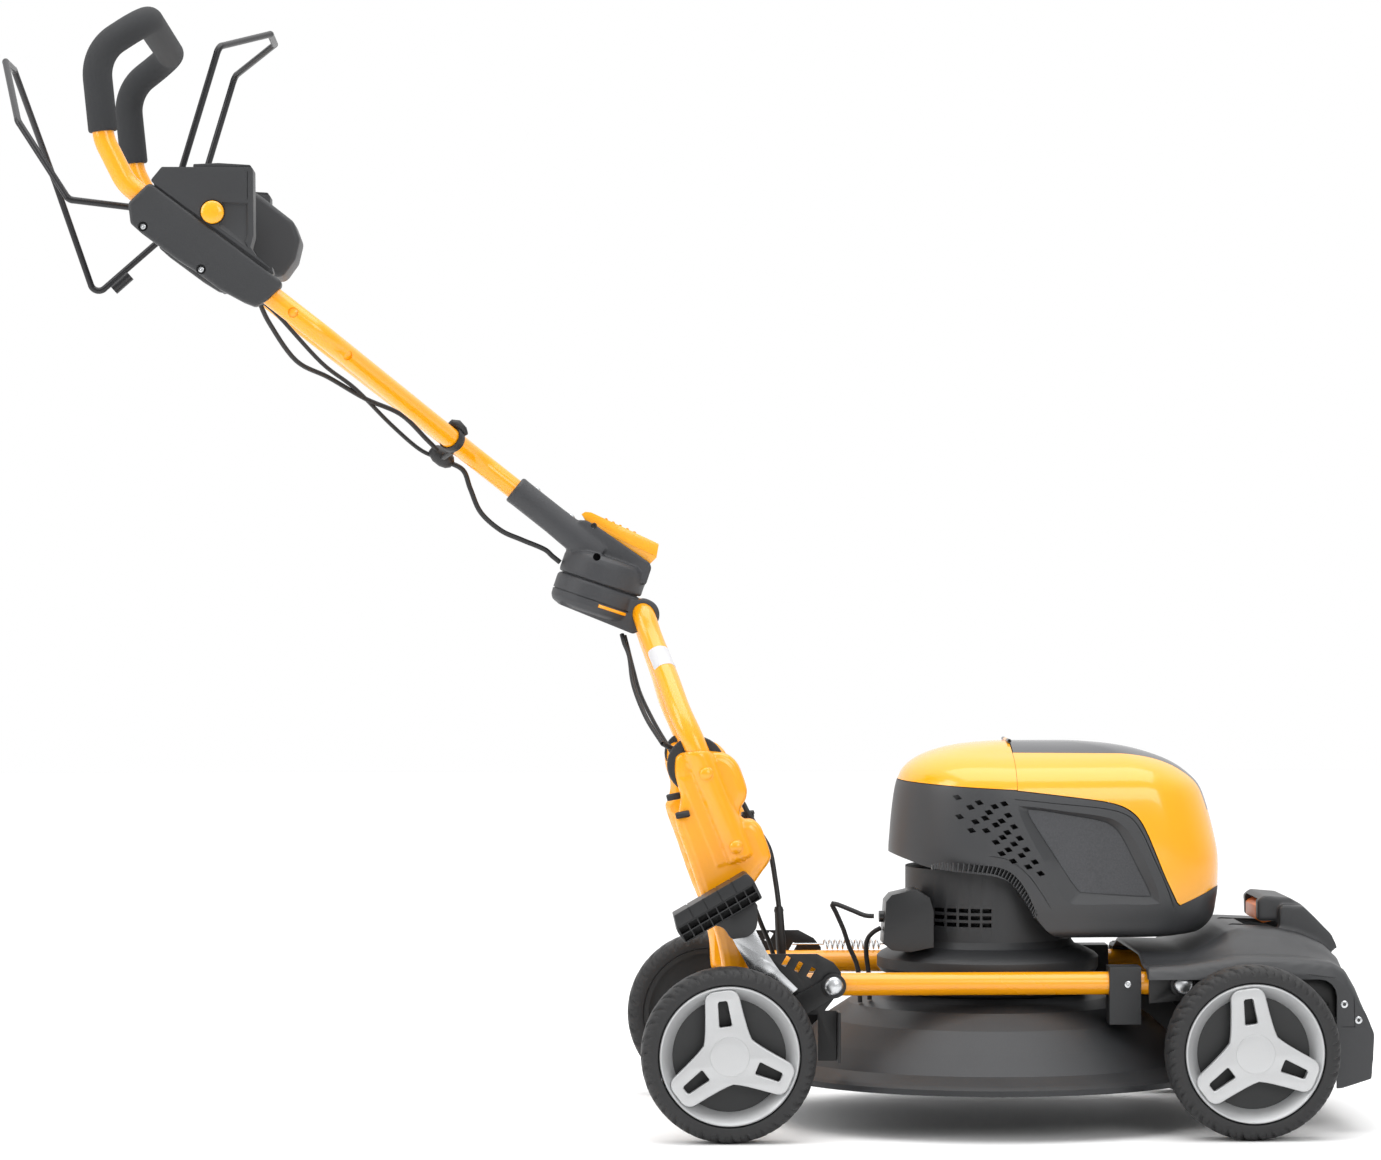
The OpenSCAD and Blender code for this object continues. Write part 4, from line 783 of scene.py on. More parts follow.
# ---- side panels ----
# A thin plate with a coarse moulded grain lies in the recess on each flank of the housing.
# It is glued in, a little smaller than the recess, so that a shadow line runs round it.
PANEL_X, PANEL_Z, SHARE = 104, 289, 0.985
panel_edge = [(x * SHARE + PANEL_X * (1 - SHARE), z * SHARE + PANEL_Z * (1 - SHARE)) for x, z in panel_inner]
plates = [slab(panel_edge, side_y(0.0052, side), side_y(0.0066, side)) for side in (-1, 1)]
stand_in("side_panels_moulded", joined(*plates), panel_plastic, 24, "side_panels")

# ---- inside the housing ----
# Two battery packs slide side by side into the bay, onto a moulded dock with their contacts. The
# control board, a printed circuit in green lacquer, is screwed in over the motor.
battery_plastic = finish("battery_plastic", "2b2c2e", 0.45, size=1400, relief=0.3, mottle=0.15)
board_green = finish("board_green", "1f4a30", 0.4, size=300, relief=0.1, mottle=0.2)
broken_edges("battery_packs", 0.002, battery_plastic)
dress(battery_plastic, "battery_dock")
dress(board_green, "control_board")

# ---- switch box ----
# A glossy moulded junction box, clipped on the neck of the motor base. Two leads in rubber jackets
# leave it for the deck.
box_plastic = finish("box_plastic", "151618", 0.33, size=1500, relief=0.25, mottle=0.12)
broken_edges("switch_box", 0.004, box_plastic, segments=4)
jacket = finish("cable_jacket", "1b1b1c", 0.5, size=900, relief=0.15, mottle=0.1)
dress(jacket, "switch_leads")

# ---- lower handle ----
# Two steel tubes rise from the frame to the swivel, bent in at the top and enamelled yellow with it.
# A plain white label is wrapped round the right one.


def tube_along(path, radius, sides=20):
    """A round bar along a path in metres, closed at its ends."""
    p = np.array([tuple(q) for q in path], float)
    along = np.gradient(p, axis=0)
    along /= np.linalg.norm(along, axis=1)[:, None]
    aside = np.cross(along[0], (0.13, 0.9, 0.3))
    rings = []
    turn = np.linspace(0, 2 * math.pi, sides, endpoint=False)[:, None]
    radii = np.broadcast_to(radius, len(p))
    for q, t, r in zip(p, along, radii):
        aside = aside - t * (aside @ t)
        aside /= np.linalg.norm(aside)
        rings.append(q + r * (np.cos(turn) * aside + np.sin(turn) * np.cross(t, aside)))
    return lofted(rings)


LEG_R, LABEL_R = 0.012, 0.01215
LEG = through([(-272, 133, 287), (-277, 133, 298), (-306, 133, 371), (-322, 132, 410), (-334.5, 116, 438),
               (-344.5, 86, 468), (-353, 60, 491), (-361.5, 40, 514), (-367.5, 29, 533), (-371, 18, 540.5),
               (-372, 8, 541.5)], 4)
legs = [tube_along([(x / 1000, s * y / 1000, z / 1000) for x, y, z in LEG], LEG_R, 32) for s in (-1, 1)]
stand_in("lower_tubes_bent", joined(*legs), yellow_enamel, 40, "lower_tubes")

# the label covers the outer half of the tube; its corners are rounded
label_film = finish("label_film", "c8c8ca", 0.42, size=600, relief=0.05, mottle=0.05)
LABEL_FOOT, LABEL_TOP, LABEL_REACH = 0.4775, 0.4955, math.radians(76)
leg = np.array(LEG) * (0.001, -0.001, 0.001)


def on_leg(z):
    """The middle of the right tube at a height."""
    return np.array([np.interp(z, leg[:, 2], leg[:, k]) for k in range(3)])


up = on_leg(LABEL_TOP) - on_leg(LABEL_FOOT)
up /= np.linalg.norm(up)
out = np.cross(up, np.cross(np.array([0.25, -1, 0.1]), up))
out /= np.linalg.norm(out)
aside = np.cross(up, out)
rows, columns = 9, 21
skin = []
for t in np.linspace(0, 1, rows):
    reach = LABEL_REACH - (0.10 if t in (0, 1) else 0.0)
    middle = on_leg(LABEL_FOOT + t * (LABEL_TOP - LABEL_FOOT))
    skin += [tuple(middle + LABEL_R * (out * math.cos(a) + aside * math.sin(a)))
             for a in np.linspace(-reach, reach, columns)]
film = bpy.data.meshes.new("film")
film.from_pydata(skin, [], [(k, k + 1, k + columns + 1, k + columns)
                            for k in range((rows - 1) * columns) if k % columns < columns - 1])
fitting("tube_label", film, label_film, "lower_tubes")

# ---- knuckle ----
# Each tube is held between two deep-drawn steel shells, bolted through and enamelled with it. The
# outer shell is drawn round the tube; moulded caps close the gap behind.
KNUCKLE = [(-337, 393), (-322, 397), (-301, 397), (-286, 394), (-276, 386), (-270, 374), (-265, 358),
           (-266, 347), (-271, 338), (-272, 332), (-268, 327), (-259, 326), (-251, 319), (-246, 307),
           (-241, 292), (-241, 283), (-252, 267), (-262, 250), (-264, 225), (-264, 190), (-264, 150),
           (-268, 147), (-286, 147), (-290, 152), (-292, 180), (-300, 214), (-313, 247), (-327, 288),
           (-339, 322), (-336, 333), (-334, 350), (-339, 368), (-340, 382)]
PINS = np.array([(-308, 374), (-277, 298)]) / 1000
SHEET = 0.0022


def pressed(line, rise, thick, pitch=0.0018):
    """A drawn sheet: its outline in the side plane, how far it stands out at each place, its thickness."""
    edge = np.array(line)
    along = np.roll(edge, -1, 0) - edge

    def off_edge(p):
        t = np.clip(((p[:, None] - edge) * along).sum(-1) / (along ** 2).sum(-1), 0, 1)
        return np.sqrt((((p[:, None] - edge) - t[..., None] * along) ** 2).sum(-1)).min(1)

    xs, zs = (np.arange(edge[:, k].min(), edge[:, k].max(), pitch) for k in (0, 1))
    grid = np.stack(np.meshgrid(xs, zs), -1).reshape(-1, 2)
    grid = grid[off_edge(grid) > pitch * 0.45]
    every = [Vector(p) for p in np.vstack([edge, grid])]
    rim = [(i, (i + 1) % len(edge)) for i in range(len(edge))]
    net = mathutils.geometry.delaunay_2d_cdt(every, rim, [], 1, 1e-6)
    p, faces = np.array([tuple(v) for v in net[0]]), [tuple(face) for face in net[2]]
    out = rise(p, off_edge(p))
    n = len(p)
    points = np.vstack([np.c_[p[:, 0], out, p[:, 1]], np.c_[p[:, 0], out - thick, p[:, 1]]])
    # an edge that only one face uses is on the rim, where a skirt closes the sheet
    used = dict.fromkeys((a, b) for face in faces for a, b in zip(face, face[1:] + face[:1]))
    skirt = [(a, b, b + n, a + n) for a, b in used if (b, a) not in used]
    back = [tuple(i + n for i in face) for face in faces]
    mesh = bpy.data.meshes.new("pressed")
    mesh.from_pydata(points.tolist(), [], [face[::-1] for face in faces] + back + skirt)
    return outward(mesh)


def knuckle_rise(p, edge):
    """Height of the outer shell over the middle plane of the tube."""
    way = (PINS[1] - PINS[0]) / np.hypot(*(PINS[1] - PINS[0]))
    rel = p - PINS[0]
    run, aside = rel @ way, rel @ np.array([-way[1], way[0]])
    tube = np.sqrt(np.clip(0.0148 ** 2 - aside ** 2, 0, None)) * (1 - eased(0.094, 0.102, run))
    step = 0.0058 * eased(-0.0225, -0.0195, -np.abs(aside + 0.006)) * eased(-0.010, -0.002, run) \
        * (1 - eased(0.094, 0.099, run))
    flat = 0.0040 + 0.0012 * eased(0.006, 0.009, edge)
    roll = 0.0055 - np.sqrt(np.clip(0.0055 ** 2 - np.clip(0.0055 - edge, 0, None) ** 2, 0, None))
    return np.maximum(np.maximum(flat - roll, tube - 0.3 * roll), step - roll)


knuckle_line = [(x / 1000, z / 1000) for x, z in through(KNUCKLE, 5, closed=True)]
outer = pressed(knuckle_line, knuckle_rise, SHEET)
inner = pressed(knuckle_line, lambda p, edge: 0.0080 * eased(0.0, 0.005, edge) + 0.002, SHEET, 0.006)
shells = []
for side in (-1, 1):
    for sheet, y, look in ((outer, 0.133, side), (inner, 0.131, -side)):
        seat = Matrix.Translation((0, side * y, 0)) @ Matrix.Diagonal((1, look, 1, 1))
        shells.append(placed(sheet, seat, 40))
    for x, z in PINS:
        shells.append(across(dome(0.0068, 0.0042, 1.15), x, z, 0.1470, side))
        shells.append(across(dome(0.0070, 0.0050, 1.2), x, z, -0.1185, -side))
stand_in("knuckle_shells", joined(*shells), yellow_enamel, 40, "knuckle_plates")

# a round cap on each side, the right one larger, and on the right two round stubs below it
cap_black = finish("cap_black", "1c1d1f", 0.5, size=1300, relief=0.3, mottle=0.15)
caps = []
for side, r in ((-1, 0.0300), (1, 0.0225)):
    caps.append(across([(0.0001, 0.0), (r - 0.001, 0.0), (r, 0.0012), (r, 0.0045), (r - 0.0012, 0.0060),
                        (0.0001, 0.0062)], -0.318, 0.3825, 0.1260, side))
for x, z, y in ((-0.3410, 0.3485, -0.118), (-0.3325, 0.3310, -0.140)):
    stub = [(x - 0.0068, y, z - 0.0012), (x - 0.0052, y, z - 0.0008), (x + 0.006, y, z + 0.0014),
            (x + 0.0075, y, z + 0.0018)]
    caps.append(tube_along(stub, np.array([0.0028, 0.0036, 0.0036, 0.003]), 16))
stand_in("knuckle_caps_moulded", joined(*caps), cap_black, 40, "knuckle_caps")

# ---- swivel joint ----
# Two glass-filled nylon drums turn on one another; the sleeve of the upper tube and the hood over
# the lower tubes are moulded on them. The yellow lever on top lifts the lock pin.
joint_plastic = finish("joint_plastic", "333437", 0.52, size=1100, relief=0.6, depth=0.0004, mottle=0.22)
TILT = math.radians(18.7)
JOINT = Matrix.Translation((-0.4145, 0, 0.569)) @ Matrix.Rotation(TILT, 4, "Y")


def melted(voxel, passes, keep, *meshes):
    """Overlapping solids run together into one moulding with soft corners."""
    made = bpy.data.objects.new("melting", joined(*meshes))
    scene.collection.objects.link(made)
    cast = made.modifiers.new("cast", "REMESH")
    cast.mode, cast.voxel_size = "VOXEL", voxel
    ease = made.modifiers.new("ease", "SMOOTH")
    ease.factor, ease.iterations = 0.5, passes
    thin = made.modifiers.new("thin", "DECIMATE")
    thin.ratio = keep
    return settled(made)


def in_joint(profile, steps=72):
    """A ring turned round the swivel axis, from millimetres."""
    return placed(spun([(r / 1000, z / 1000) for r, z in profile], steps), JOINT, 30)


SLOPE, STEM_Y, SLEEVE_R = math.radians(38.3), 0.013, 0.015
sleeve_way = np.array([-math.cos(SLOPE), 0, math.sin(SLOPE)])
sleeve_up = np.array([math.sin(SLOPE), 0, math.cos(SLOPE)])
sleeve_foot = np.array([-0.438, 0, 0.617])


def sleeve_ring(run, grow):
    """The rounded section of the sleeve round both tubes."""
    r, centre = SLEEVE_R + grow, sleeve_foot + run * sleeve_way
    return np.array([centre + np.array([0, s * STEM_Y + r * math.cos(a), 0]) + sleeve_up * r * math.sin(a)
                     for s, start in ((1, -math.pi / 2), (-1, math.pi / 2))
                     for a in np.linspace(start, start + math.pi, 17)])


sleeve = lofted([sleeve_ring(run, grow) for run, grow in
                 ((-0.030, 0.0), (-0.006, 0.001), (0.010, 0.0008), (0.030, 0.0), (0.078, 0.0),
                  (0.0835, 0.0004), (0.0855, -0.0006))])
drum_up = in_joint([(0.05, 0.3), (44.4, 0.3), (45.8, 2.0), (45.8, 19), (44, 25), (39, 29), (0.05, 30)])
wedge = slab([(-447, 598), (-442, 628), (-436, 637), (-429, 636.5), (-418, 630.5), (-362, 591.5), (-360, 586),
              (-366, 568), (-440, 582)], -0.023, 0.023)
stems = [tube_along([(-0.432, s * STEM_Y, 0.6123), (-0.545, s * STEM_Y, 0.701)], 0.0112, 32) for s in (-1, 1)]
lever_well = slab([(-441, 650), (-441, 630), (-416, 624), (-364, 590), (-350, 590), (-350, 650)],
                  -0.015, 0.015)
PIN_X, PIN_Z = -0.421, 0.631
upper_body = cut(melted(0.0013, 7, 0.4, sleeve, drum_up, wedge), *stems, lever_well,
                 barrel(-0.4186, 0.5978, 0.0041, -0.06, -0.016), barrel(PIN_X, PIN_Z, 0.0033, -0.06, 0.06))
pivot = in_joint([(0.05, -33.4), (10.4, -33.4), (11, -32.8), (11, 4), (0.05, 4)])
stand_in("swivel_upper", joined(upper_body, pivot), joint_plastic, 38, "joint_upper")

turn = Matrix([[*sleeve_way, 0], [0, 1, 0, 0], [*sleeve_up, 0], [0, 0, 0, 1]]).transposed()
sleeve_screws = []
for run in (0.020, 0.066):
    foot = sleeve_foot + run * sleeve_way + sleeve_up * 0.0146
    for y in (-STEM_Y, STEM_Y):
        seat = Matrix.Translation((foot[0], y, foot[2])) @ turn
        sleeve_screws.append(placed(spun(dome(0.0036, 0.0022), 24), seat))
fitting("sleeve_screws", joined(*sleeve_screws), zinc, "joint_upper")
pin_head = across(cross_screw(0.0031, 0.0018), PIN_X, PIN_Z, 0.0222)
pin_shank = barrel(PIN_X, PIN_Z, 0.0028, -0.0224, 0.0226)
fitting("lever_pin", joined(pin_head, pin_shank), black_coat, "joint_upper")

drum_low = in_joint([(0.05, -33), (38, -33), (43, -30.6), (45.6, -26), (46, -19), (46, -4), (44.6, -1.2),
                     (43, -0.4), (0.05, -0.4)])
hood = [barrel(-0.3685, 0.5365, 0.0168, -0.028, 0.028, 40),
        slab([(-404, 556), (-385, 554), (-362, 551), (-355, 541), (-354, 527), (-380, 516), (-459, 548)],
             -0.029, 0.029)]
hood_form = melted(0.0013, 5, 0.5, drum_low, *hood)
# the hood is moulded round the last bends of both legs
sockets = [tube_along([tuple(Vector((x, s * y, z)) / 1000) for x, y, z in LEG[-9:]], 0.0124, 32)
           for s in (-1, 1)]
drum_groove = in_joint([(44.6, -19.1), (47.5, -19.1), (47.5, -17.9), (44.6, -17.9)])
bearing_ring = in_joint([(0.05, -2), (42, -2), (42, 0.2), (0.05, 0.2)])
pivot_bore = in_joint([(0.05, -60), (11.3, -60), (11.3, 10), (0.05, 10)])
lower_body = shaped(hood_form, ("DIFFERENCE", drum_groove), ("UNION", bearing_ring),
                    *[("DIFFERENCE", tool) for tool in (*sockets, pivot_bore)])
stand_in("swivel_lower", lower_body, joint_plastic, 34, "joint_lower")

# the lock pin shows as a yellow bar in its slot round the lower drum
arc = [JOINT @ Vector((0.0450 * math.cos(a), 0.0450 * math.sin(a), -0.0222))
       for a in np.radians(np.linspace(-84, -40, 14))]
slot_pin = placed(tube_along(arc, 0.0019, 12), Matrix())
fitting("lock_slot_pin", slot_pin, yellow_enamel, "joint_lower")

# the lever: a ribbed thumb pad on a long wedge
RIB_PITCH, RIB_DROP = 0.0075, 0.0035
pads = [barrel(-0.408 + k * RIB_PITCH, 0.637 - k * RIB_DROP, 0.0019, -0.011, 0.011, 16) for k in range(5)]
ridge = slab([(-418, 629.5), (-356, 601.5), (-355, 598.5), (-418, 626.8)], -0.0150, 0.0150)
added(broken_edges("joint_lever", 0.0012, yellow_plastic), yellow_plastic, ridge, *pads)

# ---- upper handle ----
# One bent tube, enamelled yellow, from sleeve to sleeve. A sleeve of closed-cell foam is slipped
# over the grip before the last bends.


def bent(path, radius, steps=9):
    """The middle line of a bent bar: a true arc at each corner of the path, given in millimetres."""
    p = [np.array(q, float) / 1000 for q in path]
    line = [p[0]]
    for a, b, c in zip(p, p[1:], p[2:]):
        u, v = (a - b) / np.linalg.norm(a - b), (c - b) / np.linalg.norm(c - b)
        half = math.acos(np.clip(u @ v, -1, 1)) / 2
        reach = min(radius / math.tan(half), 0.49 * np.linalg.norm(a - b), 0.49 * np.linalg.norm(c - b))
        middle = b + (u + v) / np.linalg.norm(u + v) * reach / math.cos(half)
        s, e = b + u * reach - middle, b + v * reach - middle
        angle = math.pi - 2 * half
        for k in range(steps):
            t = k / (steps - 1)
            line.append(middle + (math.sin((1 - t) * angle) * s + math.sin(t * angle) * e) / math.sin(angle))
    return line + [p[-1]]


def both_halves(path):
    """A path from one end over the middle of the mower to its mirror image."""
    return path + [(x, -y, z) for x, y, z in reversed(path)]


STEM = [(-452, 13, 628), (-545, 13, 701), (-700, 226, 823), (-900, 226, 978), (-922, 226, 1022),
        (-931, 226, 1110), (-880, 202, 1147)]
STEM_R, FOAM_R, BEND_R = 0.011, 0.015, 0.045


def looking(spot, way):
    """The place of a turned piece at a spot, with its axis along a direction."""
    return Matrix.Translation(spot) @ Vector(way).to_track_quat("Z", "Y").to_matrix().to_4x4()


# two dimples in each side, where the tube was held while the ends were bent in
dimple = spun([(0.0001, -0.0011), (0.0030, -0.0016), (0.0052, -0.0022), (0.0056, 0.004), (0.0001, 0.004)], 28)
DIMPLES = [((-0.731, 0.237, 0.8471), (0, 1, 0)), ((-0.6757, 0.2088, 0.8038), (0.577, 0.679, -0.454))]
dimples = [placed(dimple, looking((x, side * y, z), (u, side * v, w)), 30)
           for side in (-1, 1) for (x, y, z), (u, v, w) in DIMPLES]
stem = cut(tube_along(bent(both_halves(STEM), BEND_R, 12), STEM_R, 28), *dimples)
stand_in("handle_tube", stem, yellow_enamel, 40, "stem_tubes")

# the foam is a little thinner at its two cut ends
foam = finish("foam", "2a2b2d", 0.85, size=1600, relief=0.8, depth=0.0006, mottle=0.3)
grip_line = bent(both_halves([(-922.8, 226, 1030)] + STEM[-2:]), BEND_R, 14)
grip_line[1:1] = [grip_line[0] + (grip_line[1] - grip_line[0]) * t for t in (0.015, 0.05)]
grip_line[-1:-1] = [grip_line[-1] + (grip_line[-2] - grip_line[-1]) * t for t in (0.05, 0.015)]
swell = np.full(len(grip_line), FOAM_R)
swell[[0, -1]], swell[[1, -2]] = 0.0135, 0.0145
stand_in("grip_sleeve", tube_along(grip_line, swell, 32), foam, 50, "grip_foam")

# ---- console ----
# Two moulded cheeks clamp the handle tubes from below. Two covers are screwed on them from above with a
# shadow gap between, and a raised box sits in the middle. The start button is in the right cover.
console_plastic = finish("console_plastic", "2b2c2e", 0.5, size=1250, relief=0.5, mottle=0.2)


def corners(path, radius, steps=5):
    """A side outline in millimetres with rounded corners."""
    loop = [(x, 0, z) for x, z in path]
    line = bent([loop[-1]] + loop + [loop[0]], radius / 1000, steps)[1:-1]
    return [(q[0] * 1000, q[2] * 1000) for q in line]


CHEEK_LOW = [(-756, 859.5), (-769, 852.5), (-781, 857.3), (-805.7, 870.6), (-830, 889), (-846.7, 899.4),
             (-884, 927), (-894.5, 936.4), (-897, 957), (-875.4, 978.4)]
COVER = [(-874.6, 979.6), (-863, 993.6), (-771.2, 993.6), (-770.6, 925), (-773.8, 913), (-768, 904),
         (-741.2, 881.6)]
# the left cheek and its cover don't reach as far forward as the right ones
cheek_line = {-1: corners([(-739.5, 876.2)] + CHEEK_LOW, 6),
              1: corners([(-768.6, 897.6), (-776, 876)] + CHEEK_LOW[4:], 6)}
cover_line = {-1: corners(COVER, 2.5), 1: corners(COVER[:5] + [(-771, 903.4)], 2.5)}
SUNK = [(-803, 958.4), (-776.2, 957.6), (-775.8, 925), (-777.5, 916), (-775.5, 911), (-806, 933)]
SUNK_FLOOR = [(-800.5, 956), (-778.2, 955.2), (-778, 926.5), (-780, 919), (-782, 920), (-802.5, 936)]
TONGUE = [(-872, 978.2), (-869, 978.6), (-752, 892.6), (-751, 887), (-758, 885), (-866, 964.5)]
GROOVE = [(-777.2, 989), (-776.2, 989.5), (-776.2, 961), (-777.2, 961)]
BROW = corners([(-831.5, 993), (-831.2, 996.6), (-806, 997.8), (-774.5, 996), (-772.2, 994)], 1.0)
CHEEK_SCREWS = [(-0.882, 0.9333), (-0.8235, 0.8902)]
BUTTON_X, BUTTON_Z = -0.812, 0.948
# the outer faces of the cheeks, the covers and the tongues, and a plane clear of all three where the
# holes in them are started
CHEEK_Y, COVER_Y, TONGUE_Y, CLEAR_Y = 0.2420, 0.2408, 0.2375, 0.2440
stem_hole = tube_along(bent(STEM[1:5], BEND_R, 12), 0.0112, 24)
console, screws = [], []
for side in (-1, 1):
    bore = placed(stem_hole, Matrix.Diagonal((1, side, 1, 1)))
    holes = [barrel(x, z, 0.0050, side * 0.2365, side * CLEAR_Y, 28) for x, z in CHEEK_SCREWS]
    cheek = softened(slab(cheek_line[side], side * CHEEK_Y, side * 0.2105), 0.0034, 4)
    console.append(cut(cheek, bore, *holes))
    screws += [across(cross_screw(0.0034, 0.0030), x, z, 0.2364, side) for x, z in CHEEK_SCREWS]
    tongue = TONGUE if side < 0 else grown(TONGUE, -10, 7)
    console.append(slab(tongue, side * TONGUE_Y, side * 0.1900))
    sinks = [slab(SUNK, side * 0.2409, side * 0.2380, SUNK_FLOOR),
             slab(GROOVE, side * CLEAR_Y, side * 0.2398)]
    if side < 0:
        sinks.append(barrel(BUTTON_X, BUTTON_Z, 0.0127, side * 0.2350, side * CLEAR_Y, 40))
    cover = softened(slab(cover_line[side], side * COVER_Y, side * 0.1810), 0.0022)
    console.append(cut(cover, bore, *sinks))
    console.append(softened(slab(BROW, side * 0.2385, side * 0.1835), 0.0008, 2))
middle = slab(corners([(-838, 962), (-832, 984), (-781, 983.5), (-769, 975), (-737, 950), (-730, 931),
                       (-735, 910), (-750, 889), (-790, 905), (-822, 930)], 11), -0.056, 0.056)
tray = slab([(-838, 958), (-826, 930), (-800, 908), (-788, 905), (-790, 912), (-802, 936), (-814, 961)],
            -0.182, 0.182)
shells = joined(*console, softened(middle, 0.005, 4), tray)
stand_in("console_shells", shells, console_plastic, 34, "console_cheeks", "console_tower")
fitting("console_screws", joined(*screws), zinc, "console_tower")
button = across([(0.0001, -0.006), (0.0116, -0.006), (0.0118, 0.0016), (0.0112, 0.0034), (0.0098, 0.0046),
                 (0.0060, 0.0054), (0.0001, 0.0056)], BUTTON_X, BUTTON_Z, COVER_Y)
stand_in("start_button_dome", button, yellow_plastic, 30, "start_button")

# ---- pedal tread ----
# A moulded nylon foot rest, pressed and riveted on the plated lever: a ribbed bar along its edge, and
# an open grid of ribs below it. A short neck takes the lever.
pedal_plastic = finish("pedal_plastic", "17181a", 0.45, size=1500, relief=0.3, mottle=0.2)
LEAN = math.radians(30.1)


def on_tread(path, y0, y1):
    """A block across the tread, from its own millimetres: along its top edge and down from it."""
    return slab([(-344 + u * math.cos(LEAN) + v * math.sin(LEAN),
                  232 + u * math.sin(LEAN) - v * math.cos(LEAN))
                 for u, v in path], y0, y1)


TREAD = [(0, 0.2), (84.5, 0.2), (86.6, 1.8), (89, 11), (87.6, 29.6), (86, 30.6), (-2.6, 30.8), (-4.2, 29.4),
         (-5.2, 17)]
CELL_PITCH, GRIP_LINES = 11.15, (17, 34, 51, 68)
cells = [on_tread([(u, top), (u + 9.9, top), (u + 9.5, foot), (u - 0.4, foot)], -0.206, -0.188)
         for top, foot in ((14.4, 21.2), (22.4, 29.6)) for u in (CELL_PITCH * k - 2.4 for k in range(8))]
top_lines = [on_tread([(u - 0.6, -1), (u + 0.6, -1), (u + 0.6, 1.2), (u - 0.6, 1.2)], -0.2030, -0.158)
             for u in GRIP_LINES]
face_lines = [on_tread([(u - 0.6, -1), (u + 0.6, -1), (u + 0.2, 12.2), (u - 1.0, 12.2)], -0.206, -0.2036)
              for u in GRIP_LINES]
under_bar = on_tread([(-8, 12.9), (92, 12.9), (92, 13.7), (-8, 13.7)], -0.206, -0.2040)
tread = cut(softened(on_tread(TREAD, -0.205, -0.159), 0.0012), joined(*cells), joined(*top_lines),
            joined(*face_lines), under_bar)
neck_line = smooth_line([(-302, 222), (-292, 217), (-284, 206.5), (-276, 206.5), (-266, 208.5), (-258, 217),
                         (-257, 232), (-259, 243), (-280, 236)], 3, closed=True)
neck = softened(slab(neck_line, -0.184, -0.1665), 0.0015, 2)
stand_in("pedal_tread_moulded", joined(tread, neck), pedal_plastic, 34, "pedal_tread")

# ---- bails ----
# Two bent steel rods, black coated, that turn in the console. The rear one drives the wheels and the
# front one keeps the blade turning.
rod_coat = finish("rod_coat", "17171a", 0.34, size=1100, relief=0.1, mottle=0.15, Metallic=0.1)
dress(rod_coat, "rear_bail", "front_bail")

# ---- front cover ----
# One deep moulding over the front carrier: a hump between two low shoulders, a nose down to the grass
# and a hooded carry handle. Its side panels are screwed on behind the wheels.
cover_plastic = finish("cover_plastic", "333436", 0.47, size=1300, relief=0.4, mottle=0.16)
RIDGE = [(150, 183), (203, 182), (226, 193), (243, 204), (256, 207.5), (295, 206), (322, 200), (345, 190),
         (360, 176), (371, 150), (380, 121), (387.5, 104), (384.5, 55), (352, 46)]
SHOULDER = [(150, 173), (189, 175), (215, 179), (246, 183), (275, 183), (300, 182), (325, 180), (343, 177),
            (357, 169), (368, 150), (378, 124), (387, 102), (384, 56), (352, 46)]
COVER_WALL, COVER_FOOT, COVER_REAR = 3.4, 46, 150


def blended(hump, drop, wall):
    """The top line of a slice, less the wall; drop rounds the outer edge down."""
    return [(a[0] * hump + b[0] * (1 - hump) - wall * (a[0] > 340),
             a[1] * hump + b[1] * (1 - hump) - wall - drop * (b[1] > 140)) for a, b in zip(RIDGE, SHOULDER)]


def cover_block(half, hump, drop):
    """A slice of the cover: its side outline blends from the shoulder to the ridge."""
    line = blended(hump, drop, 0)
    return slab(line[:-1] + [(line[-1][0], COVER_FOOT), (COVER_REAR, COVER_FOOT)], -half / 1000, half / 1000)


def hollow_block(half, hump, drop):
    """The space inside a slice, open below and behind."""
    line, half = blended(hump, drop, COVER_WALL), (half - COVER_WALL) / 1000
    foot, rear = COVER_FOOT - 26, COVER_REAR - 20
    return slab(line[:-1] + [(line[-1][0], foot), (rear, foot), (rear, line[0][1])], -half, half)


# half width of each slice, its share of the hump, and how far its edge is rounded down
SLICES = [(60, 1, 0)] + [(y, 1 - eased(86, 130, y), 0) for y in range(86, 130, 2)]
SLICES += [(y, 0, 15 * max(0, (y - 150) / 15.6) ** 2.4)
           for y in (140, 152, 155, 158, 160, 161.5, 163, 164.2, 165, 165.6)]
bar = slab([(283, 211), (282.5, 233), (289.5, 238.3), (316.5, 236), (329, 229), (343, 216), (360, 198),
            (366, 184), (352, 176), (330, 188), (322, 200), (312, 211)], -0.050, 0.050)
sides = [slab([(304, 196), (304, 225), (308, 229), (329, 228), (341.5, 216), (359.5, 198), (366, 184),
               (350, 172), (310, 176)], side * 0.047, side * 0.062) for side in (-1, 1)]
cover = melted(0.0018, 8, 0.35, *[cover_block(*piece) for piece in SLICES], bar, *sides)
hollow = melted(0.0026, 3, 0.3, *[hollow_block(*piece) for piece in SLICES[::3] + SLICES[-1:]])
arch = slab(corners([(90, 20), (347, 20), (347, 160), (90, 160)], 18), -0.2, 0.2)
finger_room = slab([(272, 150), (270, 216), (281, 211), (300, 211), (312, 210), (322, 199), (330, 187),
                    (334, 180), (334, 150)], -0.046, 0.046)
latch_room = slab([(270, 196), (270, 228), (286, 235), (304, 232.5), (306, 222), (304, 200)], -0.037, 0.037)
motor_room = placed(spun([(0.0001, 0.02), (0.120, 0.02), (0.120, 0.3), (0.0001, 0.3)], 96), Matrix(), 30)
cover = cut(cover, hollow, arch, finger_room, latch_room, motor_room)
well = spun([(0.0001, 0.15), (0.009, 0.15), (0.009, 0.25), (0.0001, 0.25)], 32)
